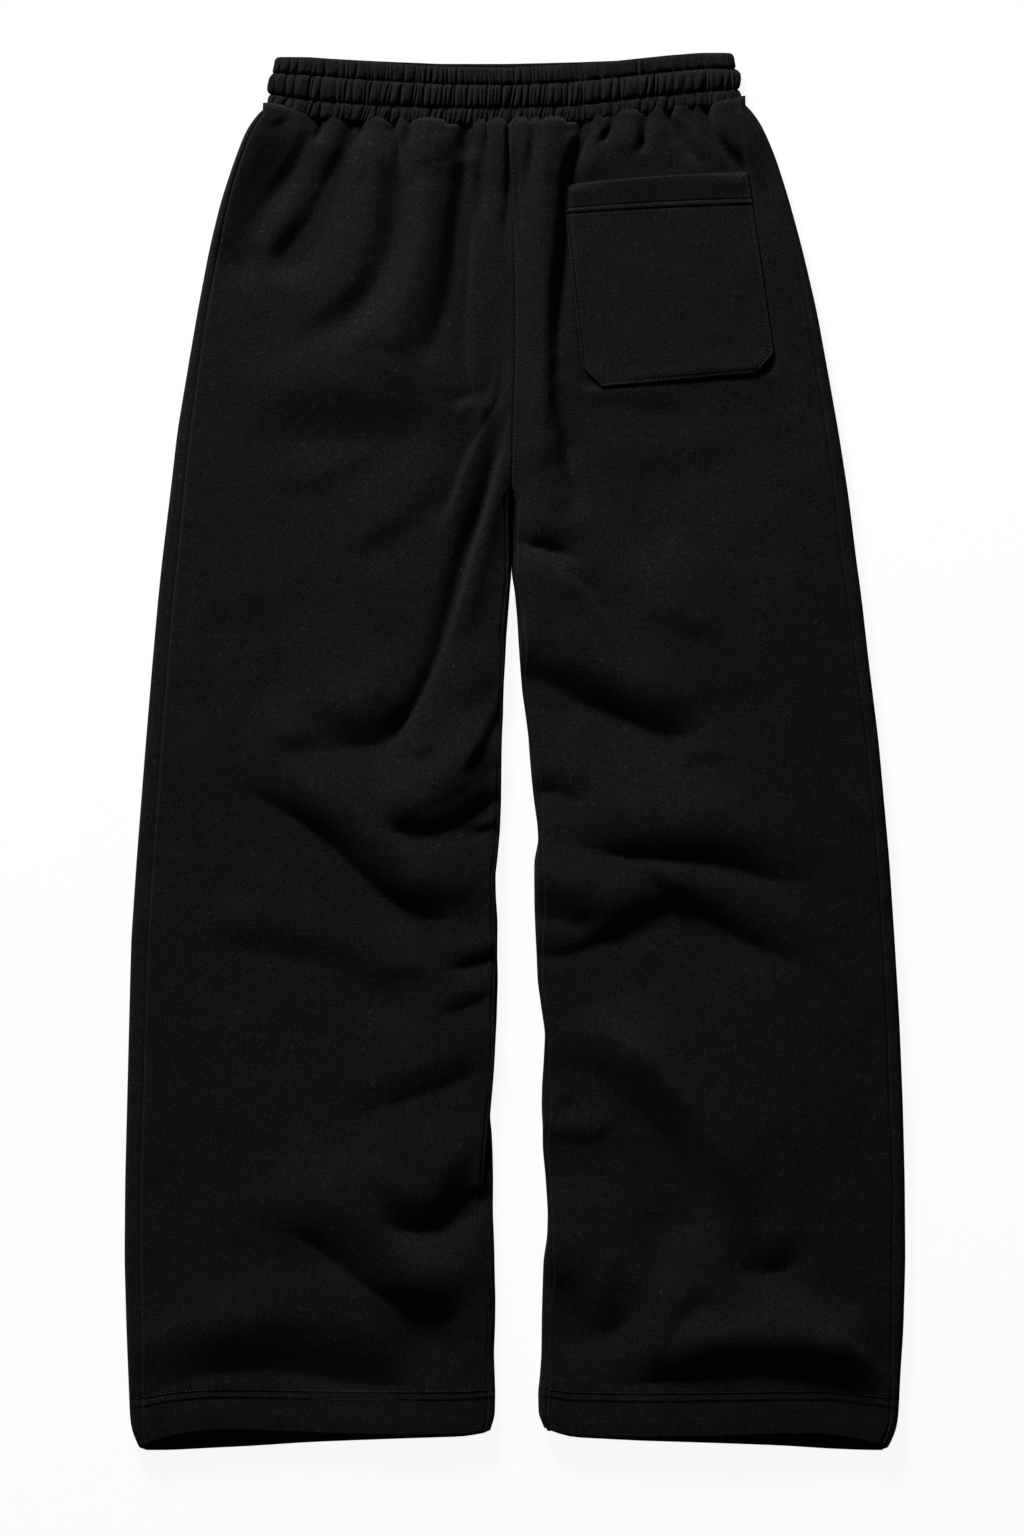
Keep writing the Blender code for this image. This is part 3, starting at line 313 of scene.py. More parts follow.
RIGHT_FOLDS = fold_table(
    # gathers under the band, from the middle to the side
    """
    centre_pleat 5 -6 0.3 8 5 1 0.1 0.3 0 0.2  15 474  14 462  12 448  10 430  7 412
    centre_swell -1.6 -12 0.5 8 14 0.2 0.2 0.7 0 0.6  10 440  9 400  9 360  10 320  11 280  13 236
    centre_rise 5.4 21 1.25 9 6 0.6 0.2 0.6 0 0.6  0 474  0 430  1 380  2 330  2 280  0 240  -1 205  2 168
        5 128
    groove_dot 3.2 -4 0.2 6 4 1 0.3 0.5 0 0.2  42 473  42 466  40 458
    seat_flank 2 -18 0.5 12 10 1 0.2 0.6 0 0.5  50 470  46 450  41 430  38 408  36 380  35 350  32 320
        29 290
    seat_groove 7 -8 0.25 10 4 1 0.15 0.8 0.5 0.15  49 462  46 450  42 438  39 425  37 410  36 395  35 375
        34 350  32 330  29 310  28 298  30 288
    groove_wedge 3.6 -6 0.3 8 5 1 0.2 0.5 0 0.1  57 473  55 463  50 451  44 438
    groove_low 5 -7 0.4 14 9 0.5 0.3 0.8 0.8 0.2  28 280  29 268  30 256  33 244  36 230
    groove_end 5.5 -10 0.4 14 9 0.9 0.2 0.6 0 0.2  37 226  39 212  41 198  43 186  46 170
    pocket_nip 4.4 -5 0.3 8 5 1 0.2 0.5 0 0.1  74 476  70 466  64 457  58 450
    mouth_shade 2.4 15 0.4 12 4 0.6 0.2 0.3 0 0.1  42 424  54 425  64 427  78 429
    mid_pleat 5 -7 0.3 9 3 1 0.1 0.7 0 0.2  97 478  96 466  94 455  92 444
    mid_soft 2 -14 0.3 8 8 0.6 0.3 0.5 0 0.8  121 470  120 458  116 447
    slant_nip 5 6 0.2 7 5 1 0.2 0.7 0 0.2  111 477  118 467  127 452  137 437
    slant_pleat 2 5 0.2 8 5 1 0.2 0.5 0 0.2  125 482  130 473  136 464  143 456
    side_pleat 8 8 0.3 12 7 1 0.2 0.5 0 0.15  140 484  143 473  149 461  157 450  165 442  172 433
        176 424  178 412
    mouth_shade_side 1.6 13 0.4 10 4 0 0.4 0.6 0 0.1  140 434  152 434  162 434  173 433
    side_swell -2.6 -12 0.5 8 12 0.3 0.3 0.6 0 0.6  188 464  196 440  202 416  208 392
    """
    # below the pocket and the crotch
    """
    under_pocket 1.5 14 0.4 14 20 0.3 0.3 0.6 0 0.6  46 258  74 256  104 254  142 252
    thigh_top 2.2 24 0.5 26 26 0 0.4 0.6 0 1  60 205  100 200  140 208  190 226
    crotch_nick 7.5 20 0.3 16 7 0.6 0.2 0.5 0 0.05  8 155  16 154  25 152  40 148  56 142
    crotch_tail -2.2 8 0.5 10 12 0.4 0.3 0.6 0 0.5  24 138  40 128  54 116  68 98  84 76
    thigh_inner 9.5 60 0.5 24 24 1 0.05 0.2 0 0.9  2 82  22 80  44 79  66 76  92 68
    thigh_swell -2.4 34 0.5 24 30 0 0.4 0.7 0 1  64 112  90 122  118 134  148 150
    thigh_soft 2.6 18 0.5 18 18 0 0.4 0.6 0 0.9  86 98  106 94  128 80  158 76
    thigh_soft_low 1.6 22 0.5 18 22 0 0.4 0.6 0 0.9  136 30  154 32  176 38  200 44
    thigh_rise 5 -150 0.6 50 40 0 0.3 0.8 0.3 1  70 245  120 248  180 250  232 248
    thigh_slant 13 31 0.6 38 40 0.6 0.2 0.62 0 0.1  4 47  20 49  40 42  60 33  80 25  100 17  112 13
        125 12  137 14  152 20
    """
    # round the knee
    """
    thigh_fall 5.5 36 0.7 20 20 1 0.2 0.4 0 0.7  4 56  24 58  44 52  62 44  84 36
    knee_spot 1.8 14 0.5 14 14 0 0.4 0.6 0 0.7  122 -12  140 -11  162 -7
    knee_nick 4.2 18 0.4 20 14 0.6 0.3 0.7 0 0.1  12 -32  24 -28  32 -28  40 -32  54 -39
    knee_sweep 13 33 0.62 42 50 0.2 0.28 0.45 0 0  36 -66  60 -72  80 -76  100 -78  120 -79  140 -81
        160 -85  180 -91  200 -95  220 -98  246 -100
    knee_crease 10 30 0.4 20 14 0.8 0.3 0.5 0 0.6  14 -118  30 -124  50 -126  76 -119
    knee_small 3 12 0.4 12 10 0 0.4 0.8 0.2 0.5  80 -82  94 -90  108 -101  122 -113
    knee_peak 11.8 29 0.6 30 60 0.45 0.25 0.5 0 0  14 -150  30 -152  44 -152  52 -147  60 -143  70 -138
        80 -133  90 -128  100 -123  110 -120  120 -118  130 -121  140 -126  150 -130  160 -135  170 -140
        180 -145  190 -149  200 -154  215 -162  230 -172  250 -186
    peak_edge 1.6 16 0.4 14 14 0 0.4 0.6 0 0.6  80 -168  95 -176  112 -160
    """
    # calf, shin and hem
    """
    calf_drape -16 -42 0.45 60 24 0 0.3 0.7 0 0.6  44 -190  64 -203  84 -218  110 -242  134 -268  154 -300
        168 -335  178 -368
    drape_pool 6 30 0.4 30 16 0 0.4 0.6 0 0.25  150 -376  166 -384  182 -388  200 -385  226 -372
    calf_nick 8 26 0.45 24 16 0.7 0.25 0.5 0 0.3  18 -298  35 -300  48 -301  60 -301  72 -298  86 -292
        102 -284
    calf_spot 1.6 10 0.5 8 8 0.2 0.4 0.6 0 0.5  26 -264  38 -263  50 -266
    shin_side 2.2 -16 0.5 20 18 0 0.4 0.6 0 0.9  122 -296  120 -320  116 -344  104 -372
    shin_inner 5 40 0.5 20 24 0.6 0.3 0.6 0 0.8  16 -398  40 -402  70 -396
    shin_soft 10 44 0.45 26 22 0.6 0.3 0.6 0 0.35  16 -424  34 -428  48 -432  62 -435  76 -430  90 -418
        108 -404
    ankle_fork 3 -15 0.4 14 10 0 0.4 0.8 0.3 0.3  156 -400  138 -410  126 -422  119 -436  115 -450
    ankle_arch 10.5 27 0.8 20 14 0.1 0.35 0.78 0 0.1  62 -470  85 -470  100 -469  120 -467  140 -464
        160 -461  180 -460  200 -462  220 -464  240 -468  255 -473  270 -477  284 -481
    ankle_light 3.4 -30 0.6 16 24 0 0.4 0.8 0.4 1  180 -390  222 -397  266 -414
    ankle_rim -2 8 0.5 8 10 0 0.5 0.8 0.2 0.5  238 -436  256 -444  269 -456  277 -470
    """)
LEFT = Leg("left", -1, LEFT_SECTIONS, LEFT_INNER, LEFT_FOLDS)
RIGHT = Leg("right", 1, RIGHT_SECTIONS, RIGHT_INNER, RIGHT_FOLDS)


def smooth(share):
    """Ease from 0 to 1."""
    share = np.clip(share, 0.0, 1.0)
    return share * share * (3.0 - 2.0 * share)


def nearest(values, wanted):
    """The index of the value nearest to the wanted one."""
    return int(np.argmin(np.abs(np.asarray(values) - wanted)))


def larger(first, second, blend):
    """The larger of two heights, with the corner between them rounded over blend."""
    return (first + second + np.hypot(first - second, blend)) / 2.0


def read(rows, field, at, ease, key="y"):
    """A table's field at one or more places: straight past its ends, with its corners eased each way."""
    places, values = np.array(sorted((getattr(row, key), getattr(row, field)) for row in rows)).T
    before = values[0] - PAST_ENDS * (values[1] - values[0]) / (places[1] - places[0])
    after = values[-1] + PAST_ENDS * (values[-1] - values[-2]) / (places[-1] - places[-2])
    places = np.concatenate([[places[0] - PAST_ENDS], places, [places[-1] + PAST_ENDS]])
    values = np.concatenate([[before], values, [after]])
    taps = np.arange(-3, 4)
    weights = 4.0 - np.abs(taps)
    total = sum(weight * np.interp(at + ease * tap / 3.0, places, values)
                for tap, weight in zip(taps, weights))
    return total / weights.sum()


def unevenness(x, y, size, seed):
    """Smooth random heights between -1 and 1, with hills of about that size."""
    count = 64
    lattice = np.random.default_rng(seed).uniform(-1.0, 1.0, (count, count))
    across, along = np.asarray(x) / size + 500.0, np.asarray(y) / size + 500.0
    i, j = np.floor(across).astype(int), np.floor(along).astype(int)
    u, v = smooth(across - i), smooth(along - j)
    corner = [lattice[(i + di) % count, (j + dj) % count] for di in (0, 1) for dj in (0, 1)]
    near = corner[0] + (corner[1] - corner[0]) * v
    far = corner[2] + (corner[3] - corner[2]) * v
    return near + (far - near) * u


FOLD_END = 20.0
CREST_ROUND = 0.22             # share of a fold's width
CREASE_ROUND = (1.5, 8.0)      # of a sharp crease, and how much more of a soft one
ROUTE_WANDER = (1.4, 38.0)     # how far the folds stray from their routes, over what length


def beside_route(route, x, y):
    """Each point's distance from a fold's route, positive on its left, its place along it and the length.
    The route is a curve over its chord with its corners eased, which stays smooth away from it too."""
    start = route[0]
    chord = route[-1] - start
    length = np.hypot(*chord)
    across, up = chord / length
    places = (route - start) @ (across, up)
    heights = (route - start) @ (-up, across)
    along = (x - start[0]) * across + (y - start[1]) * up
    beside = (y - start[1]) * across - (x - start[0]) * up
    dense = np.arange(-80.0, length + 80.0, 1.0)
    ease = min(12.0, 0.1 * length)
    kernel = np.exp(-(np.arange(-40, 41) / ease) ** 2)
    curve = np.convolve(np.interp(dense, places, heights), kernel / kernel.sum(), "same")
    slope = np.interp(along, dense, np.gradient(curve))
    return (beside - np.interp(along, dense, curve)) / np.hypot(1.0, slope), along, length


def fold_height(fold, x, y):
    """Height that one fold adds."""
    head, full, fading, tail = fold.along
    offset, along, length = beside_route(fold.route, x, y)
    share, ends = along / length, min(FOLD_END, 0.5 * length)
    strength = ((head + (1.0 - head) * smooth(share / full))
                * (tail + (1.0 - tail) * smooth((1.0 - share) / (1.0 - fading)))
                * smooth(1.0 + along / ends) * smooth(1.0 + (length - along) / ends))
    width, beyond = abs(fold.width), offset * np.sign(fold.width)
    share = np.clip(beyond / width, 0.0, 1.0)
    rise = (1.0 - fold.soft) * (1.0 - (1.0 - share) ** 2) + fold.soft * smooth(share)

    def fading_off(distance, round_over, tail_length):
        return np.exp(-(np.hypot(np.maximum(distance, 0.0), round_over) - round_over) / tail_length)

    near = fading_off(beyond - width, CREST_ROUND * width, fold.tails[0])
    far = fading_off(-beyond, CREASE_ROUND[0] + CREASE_ROUND[1] * fold.soft, fold.tails[1])
    past_crease = np.where(beyond < 0.0, (fold.crest - 1.0) * far, fold.crest - 1.0 + rise)
    return fold.depth * strength * np.where(beyond > width, fold.crest * near, past_crease)


def relief(folds, x, y):
    """Height that all the folds add to a panel."""
    stray, size = ROUTE_WANDER
    bent = [place + stray * unevenness(x, y, size, seed) for place, seed in ((x, 11), (y, 12))]
    height = np.zeros(np.shape(x))
    for fold in folds:
        reach = abs(fold.width) + 4.0 * max(fold.tails)
        near = np.ones(np.shape(x), dtype=bool)
        for place, points in zip(bent, fold.route.T):
            near &= (place > points.min() - reach) & (place < points.max() + reach)
        height[near] += fold_height(fold, *(place[near] for place in bent))
    return height


def pocket_insides(x, y):
    """How far a place is inside the pocket's sides, its mouth and its bottom, each a straight line."""
    left, right = 37.0 + (422.0 - y) * 0.099, 173.5 + (432.0 - y) * 0.144
    mouth, bottom = 422.5 + (x - 37.0) * 0.0696, 272.0 + (x - 65.0) * 0.0913
    return np.minimum(x - left, right - x), mouth - y, y - bottom


def pocket_cover(x, y):
    """1 well inside the pocket's outline, falling to 0 at its edges and beyond."""
    return smooth((np.minimum.reduce(pocket_insides(x, y)) + 2.0) / 9.0)


def pocket_sink(x, y):
    """How far the sewn-down sides and the mouth of the pocket press into the cloth."""
    sides, mouth, bottom = pocket_insides(x, y)
    ends = smooth((bottom - 2.0) / 22.0) * smooth((mouth - 2.0) / 16.0)
    pressed = smooth((sides + 2.0) / 4.0) * smooth((bottom + 3.0) / 5.0)
    return POCKET_PRESS * pressed * (0.55 + 0.45 * ends)


def thickness(row):
    """The wall's thickness: two layers in the hem."""
    return CLOTH + (HEM_CLOTH - CLOTH) * smooth((HEM_STEP_ROW - row) / 3.0)


def waist_seam(x, back):
    """The waistband's lower edge. back is 1 on the back, 0 on the front underneath."""
    first, last = BAND_EDGES[0].x, BAND_EDGES[-1].x
    x = np.clip(x, first, last)
    start, seam, end = (read(BAND_EDGES, "back_seam", place, SEAM_EASE, "x")
                        for place in (first, x, last))
    share = (x - first) / (last - first)
    front = start + (end - start) * share - FRONT_SEAM_DIP * 4.0 * share * (1.0 - share)
    return front + (seam - front) * back


def laid_y(x, row, back):
    """Where a row lies, bent to the waist seam and the hem. back is 1 on the back, 0 below."""
    hem_x = np.clip(x, HEM_LIFTS[0].x, HEM_LIFTS[-1].x)
    hem_front, hem_back = (read(HEM_LIFTS, side, hem_x, HEM_EASE, "x") for side in ("front", "back"))
    seam = waist_seam(x, back) - WAIST_ROW - SEAM_GAP
    hem = hem_front + (hem_back - hem_front) * back
    upper = smooth((row - WAIST_BLEND) / (WAIST_ROW - WAIST_BLEND))
    lower = np.clip((HEM_BLEND - row) / (HEM_BLEND - BOTTOM), 0.0, 1.0) ** HEM_BEND
    return row + seam * upper + hem * lower


def edge(leg, field, row):
    """A leg's edge or seam at a row. The inseam and the inner edge start below the fork."""
    if field in Section._fields:
        return read(leg.sections, field, row, EDGE_EASE)
    centre = read(SEAT_SEAM, "x", row, EDGE_EASE)
    leg_edge = read(leg.inner, field, np.minimum(row, CROTCH_ROW), INNER_EASE)
    return centre + (leg_edge - centre) * smooth((FORK_ROW - row) / (FORK_ROW - CROTCH_ROW + 3.0))


def smooth_top(leg, x, row):
    """Height of the upper side without folds."""
    to_outer = leg.side * (edge(leg, "outer", row) - x)
    to_inner = np.maximum(leg.side * (x - edge(leg, "inner", row)), 0.0)
    to_inner = np.hypot(to_inner, np.maximum(row - CROTCH_ROW, 0.0))
    inside = np.maximum(np.minimum(to_outer, to_inner), 0.0)
    rim = EDGE_HEIGHT + HEM_RISE * smooth((HEM_STEP_ROW + HEM_RISE_LENGTH - row) / HEM_RISE_LENGTH)
    return rim + CROWN * (1.0 - np.exp(-inside / CROWN_REACH))


def ripples(x, y):
    """Slight unevenness of the lying cloth."""
    broad = 0.45 * unevenness(x, y, 46.0, 1) + 0.28 * unevenness(x + 0.4 * y, y, 21.0, 2)
    return broad + 0.12 * unevenness(x, y, 9.0, 3)


def hem_relief(x, row):
    """The hem's two sewn-down lines, with the cloth swelling again beyond them, and the puckers between."""
    sewn_down = sum(smooth((stitch + 0.6 - row) / 1.0) - np.clip((stitch - row) / length, 0.0, 1.0)
                    for stitch, length in zip(HEM_STITCHES, HEM_SWELLS))
    pucker = 0.24 * unevenness(x, row * 0.35, 7.5, 21) * smooth((HEM_STITCHES[0] + 14.0 - row) / 10.0)
    return HEM_STEP - HEM_STEP * sewn_down + pucker


def lobes(x):
    """1 on a lobe between two gathers, 0 in the notches."""
    shares = [np.clip((x - lobe.start) / (lobe.end - lobe.start), 0.0, 1.0) for lobe in LOBES]
    return np.maximum.reduce([(4.0 * share * (1.0 - share)) ** 0.4 for share in shares])


def top(leg, x, row, y):
    """Height of the upper side of a leg and its half of the seat."""
    seam = waist_seam(x, 1.0)
    folds = PUFF * np.exp(-((seam - PUFF_DROP - y) / PUFF_LENGTH) ** 2) + relief(leg.folds, x, y)
    if leg is RIGHT:
        folds = folds * (1.0 - pocket_cover(x, y)) - pocket_sink(x, y)
    notches = NOTCH * (1.0 - lobes(x)) * np.exp(-(np.maximum(seam - y, 0.0) / NOTCH_LENGTH) ** 2)
    height = smooth_top(leg, x, row) + folds + ripples(x, y) + hem_relief(x, row) - notches
    return larger(height, 2.0 * thickness(row) + LAYER_GAP, 0.6)


def beside_seam(distance, ridge, slope):
    """A panel's edge at a seam: it dips into the seam, and stands over its allowance by ridge, which fades
    over slope."""
    dip = SEAM_DIP * (1.0 - smooth(distance / 1.2))
    return ridge * smooth(distance / 2.4) * np.exp(-np.maximum(distance - 1.6, 0.0) / slope) - dip


def steps_down(*stops):
    """Rows from the first stop down to the last. Each stop but the last has the step that follows it."""
    rows = []
    for (start, step), (end, _) in zip(stops, stops[1:]):
        count = int(round((start - end) / step))
        rows += list(start + (end - start) * np.arange(count) / count)
    return np.array(rows + [stops[-1][0]])


FRONT_ROWS = steps_down((WAIST_ROW, 0.7), (CREST_ROW, 2.2), (430.0, 3.3), (-470.0, 1.5), (-476.0, 1.0),
                        (-516.0, 0.8), (BOTTOM, 0.0))
BACK_ROWS = steps_down((CREST_ROW, 1.1), (430.0, 2.1), (-470.0, 0.9), (-516.0, 0.5), (BOTTOM, 0.0))


def normals_of(points):
    """Unit normals of a grid of points."""
    normal = np.cross(np.gradient(points, axis=1), np.gradient(points, axis=0))
    return normal / np.maximum(np.linalg.norm(normal, axis=-1, keepdims=True), 1e-9)


def curl_rows(row, seam):
    """The rows from a panel's crest to the waist seam: a full pleat presses further up against the band
    than a hollow one before the cloth drops under it."""
    reach = (WAIST_ROW - CREST_ROW) * (1.15 + 0.85 * lobes(row[:, 0]))
    low = np.minimum(row[:, 2], CURL_LOW)
    rows = []
    for turn in pi / 2 * np.arange(1, CURL_STEPS - 1) / (CURL_STEPS - 2):
        ahead, over = sin(turn) ** CURL_BEND, cos(turn) ** CURL_BEND
        rows.append((row[:, 1] + reach * ahead, low + (row[:, 2] - low) * over))
    last = rows[-1][0]
    end = np.maximum(last + 0.4, seam + 0.8)
    rows += [((last + end) / 2.0, low - 0.1), (end, low - 0.2)]
    return np.array([np.stack([row[:, 0], y, z], axis=-1) for y, z in rows[::-1]])


def spread_columns(start, end, edge_steps, inner_count):
    """Places across a piece for each row: close together at both edges, even between them."""
    near = np.array(edge_steps)[None, :] * np.sign(end - start)
    left, right = start + near, end - near[:, ::-1]
    share = (np.arange(1, inner_count) / inner_count)[None, :]
    return np.hstack([left, left[:, -1:] + (right[:, :1] - left[:, -1:]) * share, right])


def walled(surface, row, facing):
    """A wall's outer and inner points: the hem's lower edge is a round fold. facing is 1 if the middle of
    the outside faces up, and -1 if it faces down."""
    normal = normals_of(surface)
    normal *= np.sign(facing * np.median(normal[:, surface.shape[1] // 2, 2]))
    wall = thickness(row)
    radius = wall / 2
    short = np.clip(radius - (row - BOTTOM), 0.0, radius)
    cut = (radius - np.sqrt(radius ** 2 - short ** 2))[..., None]
    return surface - normal * cut, surface - normal * (wall[..., None] - cut)


def back_panel(leg):
    """Outer and inner points of a back panel."""
    rows = BACK_ROWS[:, None]
    start, end = edge(leg, "side_seam", rows), edge(leg, "inseam", rows)
    x = spread_columns(start, end, EDGE_STEPS, BACK_COLUMNS)
    row = rows + np.zeros_like(x)
    y = laid_y(x, row, 1.0)
    z = top(leg, x, row, y)
    z = z + beside_seam(np.abs(x - start), *SIDE_RIDGES[leg.name])
    z = z + beside_seam(np.abs(end - x), *INSEAM_RIDGE)
    surface = np.stack([x, y, z], axis=-1)
    surface = np.concatenate([curl_rows(surface[0], waist_seam(x[0], 1.0)), surface])
    row = np.concatenate([np.full((CURL_STEPS, x.shape[1]), WAIST_ROW), row])
    return walled(surface, row, 1.0)


def front_panel(leg):
    """Outer and inner points of a front panel, from the side seam round underneath to the inseam, and
    which of its cells are cloth."""
    rows = FRONT_ROWS
    outer_x, seam_x, inner_x, inseam_x = (edge(leg, field, rows)
                                          for field in ("outer", "side_seam", "inner", "inseam"))
    lie = read(leg.inner, "lie", np.minimum(rows, CROTCH_ROW), LIE_EASE)
    seat_rows = nearest(rows, FORK_ROW) // 2 * 2
    columns = []

    def add(x, upward, z):
        columns.append(np.stack([x, laid_y(x, rows, upward), z], axis=-1))

    def strip_top(x, distance):
        height = top(leg, x, rows, laid_y(x, rows, 1.0)) + beside_seam(distance, *FRONT_RIDGE)
        curl = np.sqrt(np.maximum(1.0 - smooth((rows - CREST_ROW) / (WAIST_ROW - CREST_ROW)) ** 2, 0.0))
        return CURL_LOW + (height - CURL_LOW) * curl

    def roll_width(from_x, to_x):
        return np.clip(np.abs(from_x - to_x) * ROLL_SHARE, LEAST_ROLL, MOST_ROLL)

    def roll(edge_x, side, width, height, turns):
        for turn in turns:
            upward = (1.0 + cos(turn)) / 2
            add(edge_x - side * width * (1.0 - sin(turn)), upward, height * upward)

    strip, turns = np.linspace(0.0, 1.0, STRIP_COLUMNS), np.linspace(0.0, pi, ROLL_COLUMNS)
    width = roll_width(outer_x, seam_x)
    centre = outer_x - leg.side * width
    gap = np.maximum(leg.side * (centre - seam_x), 0.0)
    for share in strip[:-1] ** 1.3:
        x = seam_x + leg.side * gap * share
        add(x, 1.0, strip_top(x, np.abs(x - seam_x)))
    roll(outer_x, leg.side, width, strip_top(centre, gap), turns)

    width = roll_width(inseam_x, inner_x)
    inner_centre = inner_x + leg.side * width
    under_end = np.where(np.arange(len(rows)) < seat_rows, inner_x, inner_centre)
    for share in np.linspace(0.0, 1.0, UNDER_COLUMNS)[1:]:
        x = centre + (under_end - centre) * share
        add(x, 0.0, underside(leg, x, rows))
    joined = len(columns)

    reach = np.maximum(leg.side * (inseam_x - inner_centre), 0.0)
    height = np.maximum(strip_top(inner_centre, reach) * lie, LEAST_INNER_HEIGHT)
    roll(inner_x, -leg.side, width, height, turns[-2::-1])
    for share in strip[1:]:
        x = inner_centre + leg.side * reach * share
        add(x, 1.0, height + (strip_top(x, np.abs(inseam_x - x)) - height) * share)
    columns.append(columns[-1] - np.array([0.0, 0.0, 0.2]))

    surface = np.stack(columns, axis=1)
    cells = np.ones((surface.shape[0] - 1, surface.shape[1] - 1), dtype=bool)
    cells[:seat_rows, joined - 1:] = False
    last, step = surface[:seat_rows, [joined - 1]], surface[:seat_rows, [joined - 2]]
    count = np.arange(1, surface.shape[1] - joined + 1)[None, :, None]
    surface[:seat_rows, joined:] = last + (last - step) * count
    return *walled(surface, rows[:, None] + np.zeros(surface.shape[:2]), -1.0), cells


def underside(leg, x, rows):
    """Heights of the cloth that rests, with creases that stand clear of the floor below the upper cloth."""
    crease = 0.5 * unevenness(x, rows * 0.5, 26.0, 31) + 0.35 * unevenness(x, rows * 0.3, 11.0, 32)
    crease = np.maximum(crease * (0.8 + 1.6 * smooth((rows - 380.0) / 90.0)) - 0.15, 0.0)
    crease = crease + 0.75 * sum(np.exp(-((rows - stitch) / 1.1) ** 2) for stitch in HEM_STITCHES)
    room = top(leg, x, rows, laid_y(x, rows, 1.0)) - 2.0 * thickness(rows) - SEAM_GAP
    return np.minimum(crease, np.maximum(room, 0.0))


def grid_faces(index, cells):
    """Faces of a grid's cells."""
    corners = [index[:-1, :-1], index[:-1, 1:], index[1:, 1:], index[1:, :-1]]
    return np.stack([corner[cells] for corner in corners], axis=-1)


def wall_mesh(name, outer, inner, cells=None):
    """A closed wall: the outside at full fineness, the inside at every second point, and the rims."""
    rows, columns = outer.shape[:2]
    if cells is None:
        cells = np.ones((rows - 1, columns - 1), dtype=bool)
    kept_rows, kept_columns = (sorted({*range(0, count, 2), count - 1}) for count in (rows, columns))
    inner = inner[np.ix_(kept_rows, kept_columns)]
    index = np.arange(rows * columns).reshape(rows, columns)
    inner_index = rows * columns + np.arange(inner[..., 0].size).reshape(inner.shape[:2])
    inner_cells = cells[np.ix_(kept_rows[:-1], kept_columns[:-1])]
    faces = grid_faces(index, cells).tolist() + grid_faces(inner_index, inner_cells)[:, ::-1].tolist()
    padded = np.pad(inner_cells, 1)
    for r, c in np.argwhere(inner_cells):
        (high, low), (left, right) = kept_rows[r:r + 2], kept_columns[c:c + 2]
        beside = (padded[r, c + 1], padded[r + 1, c + 2], padded[r + 2, c + 1], padded[r + 1, c])
        rims = (index[high, left:right + 1][::-1], index[high:low + 1, right][::-1],
                index[low, left:right + 1], index[high:low + 1, left])
        corners = inner_index[[r, r, r + 1, r + 1, r], [c, c + 1, c + 1, c, c]].tolist()
        faces += [rims[side].tolist() + corners[side:side + 2] for side in range(4) if not beside[side]]
    return add_mesh(name, np.concatenate([outer.reshape(-1, 3), inner.reshape(-1, 3)]), faces)


def placed(name, data):
    """An object of the scene."""
    made = bpy.data.objects.new(name, data)
    bpy.context.scene.collection.objects.link(made)
    return made


def add_mesh(name, points, faces):
    """An object from points in millimetres, without those that no face uses. Its faces point outwards."""
    used = np.unique(np.concatenate(faces))
    place = np.full(len(points), -1)
    place[used] = np.arange(len(used))
    points = np.asarray(points)[used] * MM
    faces = [place[face].tolist() for face in faces]
    a, b, c, d = points[np.array([face[:3] + face[:4][-1:] for face in faces])].transpose(1, 0, 2)
    if (a * (np.cross(b, c) + np.cross(c, d))).sum() < 0.0:
        faces = [face[::-1] for face in faces]
    mesh = bpy.data.meshes.new(name)
    mesh.from_pydata(points.tolist(), [], faces)
    mesh.update()
    mesh.shade_smooth()
    mesh.set_sharp_from_angle(angle=radians(60.0))
    return placed(name, mesh)


# Waistband: three elastic channels, each with its place across the band, its height over the
# stitching and the slant of its gathers.
Channel = namedtuple("Channel", "start end bulge slant seed")
CHANNELS = (
    Channel(0.0, 0.29, 2.7, 2.0, 41),
    Channel(0.29, 0.70, 3.7, 1.6, 42),
    Channel(0.70, 1.0, 2.7, -1.6, 43),
)
BAND_LEFT = ((0.0, -186.6), (0.3, -184.9), (0.6, -184.4), (0.85, -180.6), (1.0, -180.0))
BAND_RIGHT = ((0.0, 170.6), (0.3, 168.6), (0.6, 167.8), (0.85, 164.4), (1.0, 163.8))
BAND_LEVEL = 7.6         # the stitched valleys on the back
BAND_UNDER = 2.4         # the stitched valleys on the front, above the floor
BAND_TURN = 3.0          # half width of the turn at each side, without the channels' height
BAND_INSIDE = 5.2        # the inner faces of the back and the front, above the floor
BAND_FRONT = 4.2
BAND_INSIDE_TURN = 2.2
BAND_TOPS = (("front_top", 0.6), ("back_top", 2.2))     # and how far the band's cloth rises beyond them
BAND_WIDTH = 356.0
BAND_TURN_RADIUS = 7.0
BACK_STEPS, TURN_STEPS, FRONT_STEPS = 860, 30, 260
GATHER_PITCH = 5.2
GATHER_STRAY = 0.6
GATHER_SLANT = 2.4
CREASE_WIDTH = 1.0
CREASE_DEPTH = 0.62      # share of a channel's height
CHANNEL_STEPS = 13
SHARED_SEED = 40


def gathers(perimeter, channel):
    """Places, depths and slants of a channel's creases round the band."""
    random = np.random.default_rng(channel.seed)
    count = int(perimeter / GATHER_PITCH)
    widths = 0.4 + np.random.default_rng(SHARED_SEED).uniform(0.0, 1.0, count) ** 2 * 1.9
    places = np.concatenate([[0.0], np.cumsum(widths)]) * perimeter / widths.sum()
    places[1:-1] += random.uniform(-GATHER_STRAY, GATHER_STRAY, count - 1)
    places = np.maximum.accumulate(places)
    depths = 0.1 + 1.5 * random.uniform(0.0, 1.0, count + 1) ** 2
    slants = channel.slant + random.uniform(-GATHER_SLANT, GATHER_SLANT, count + 1)
    depths[-1], slants[-1] = depths[0], slants[0]
    return places, depths, slants


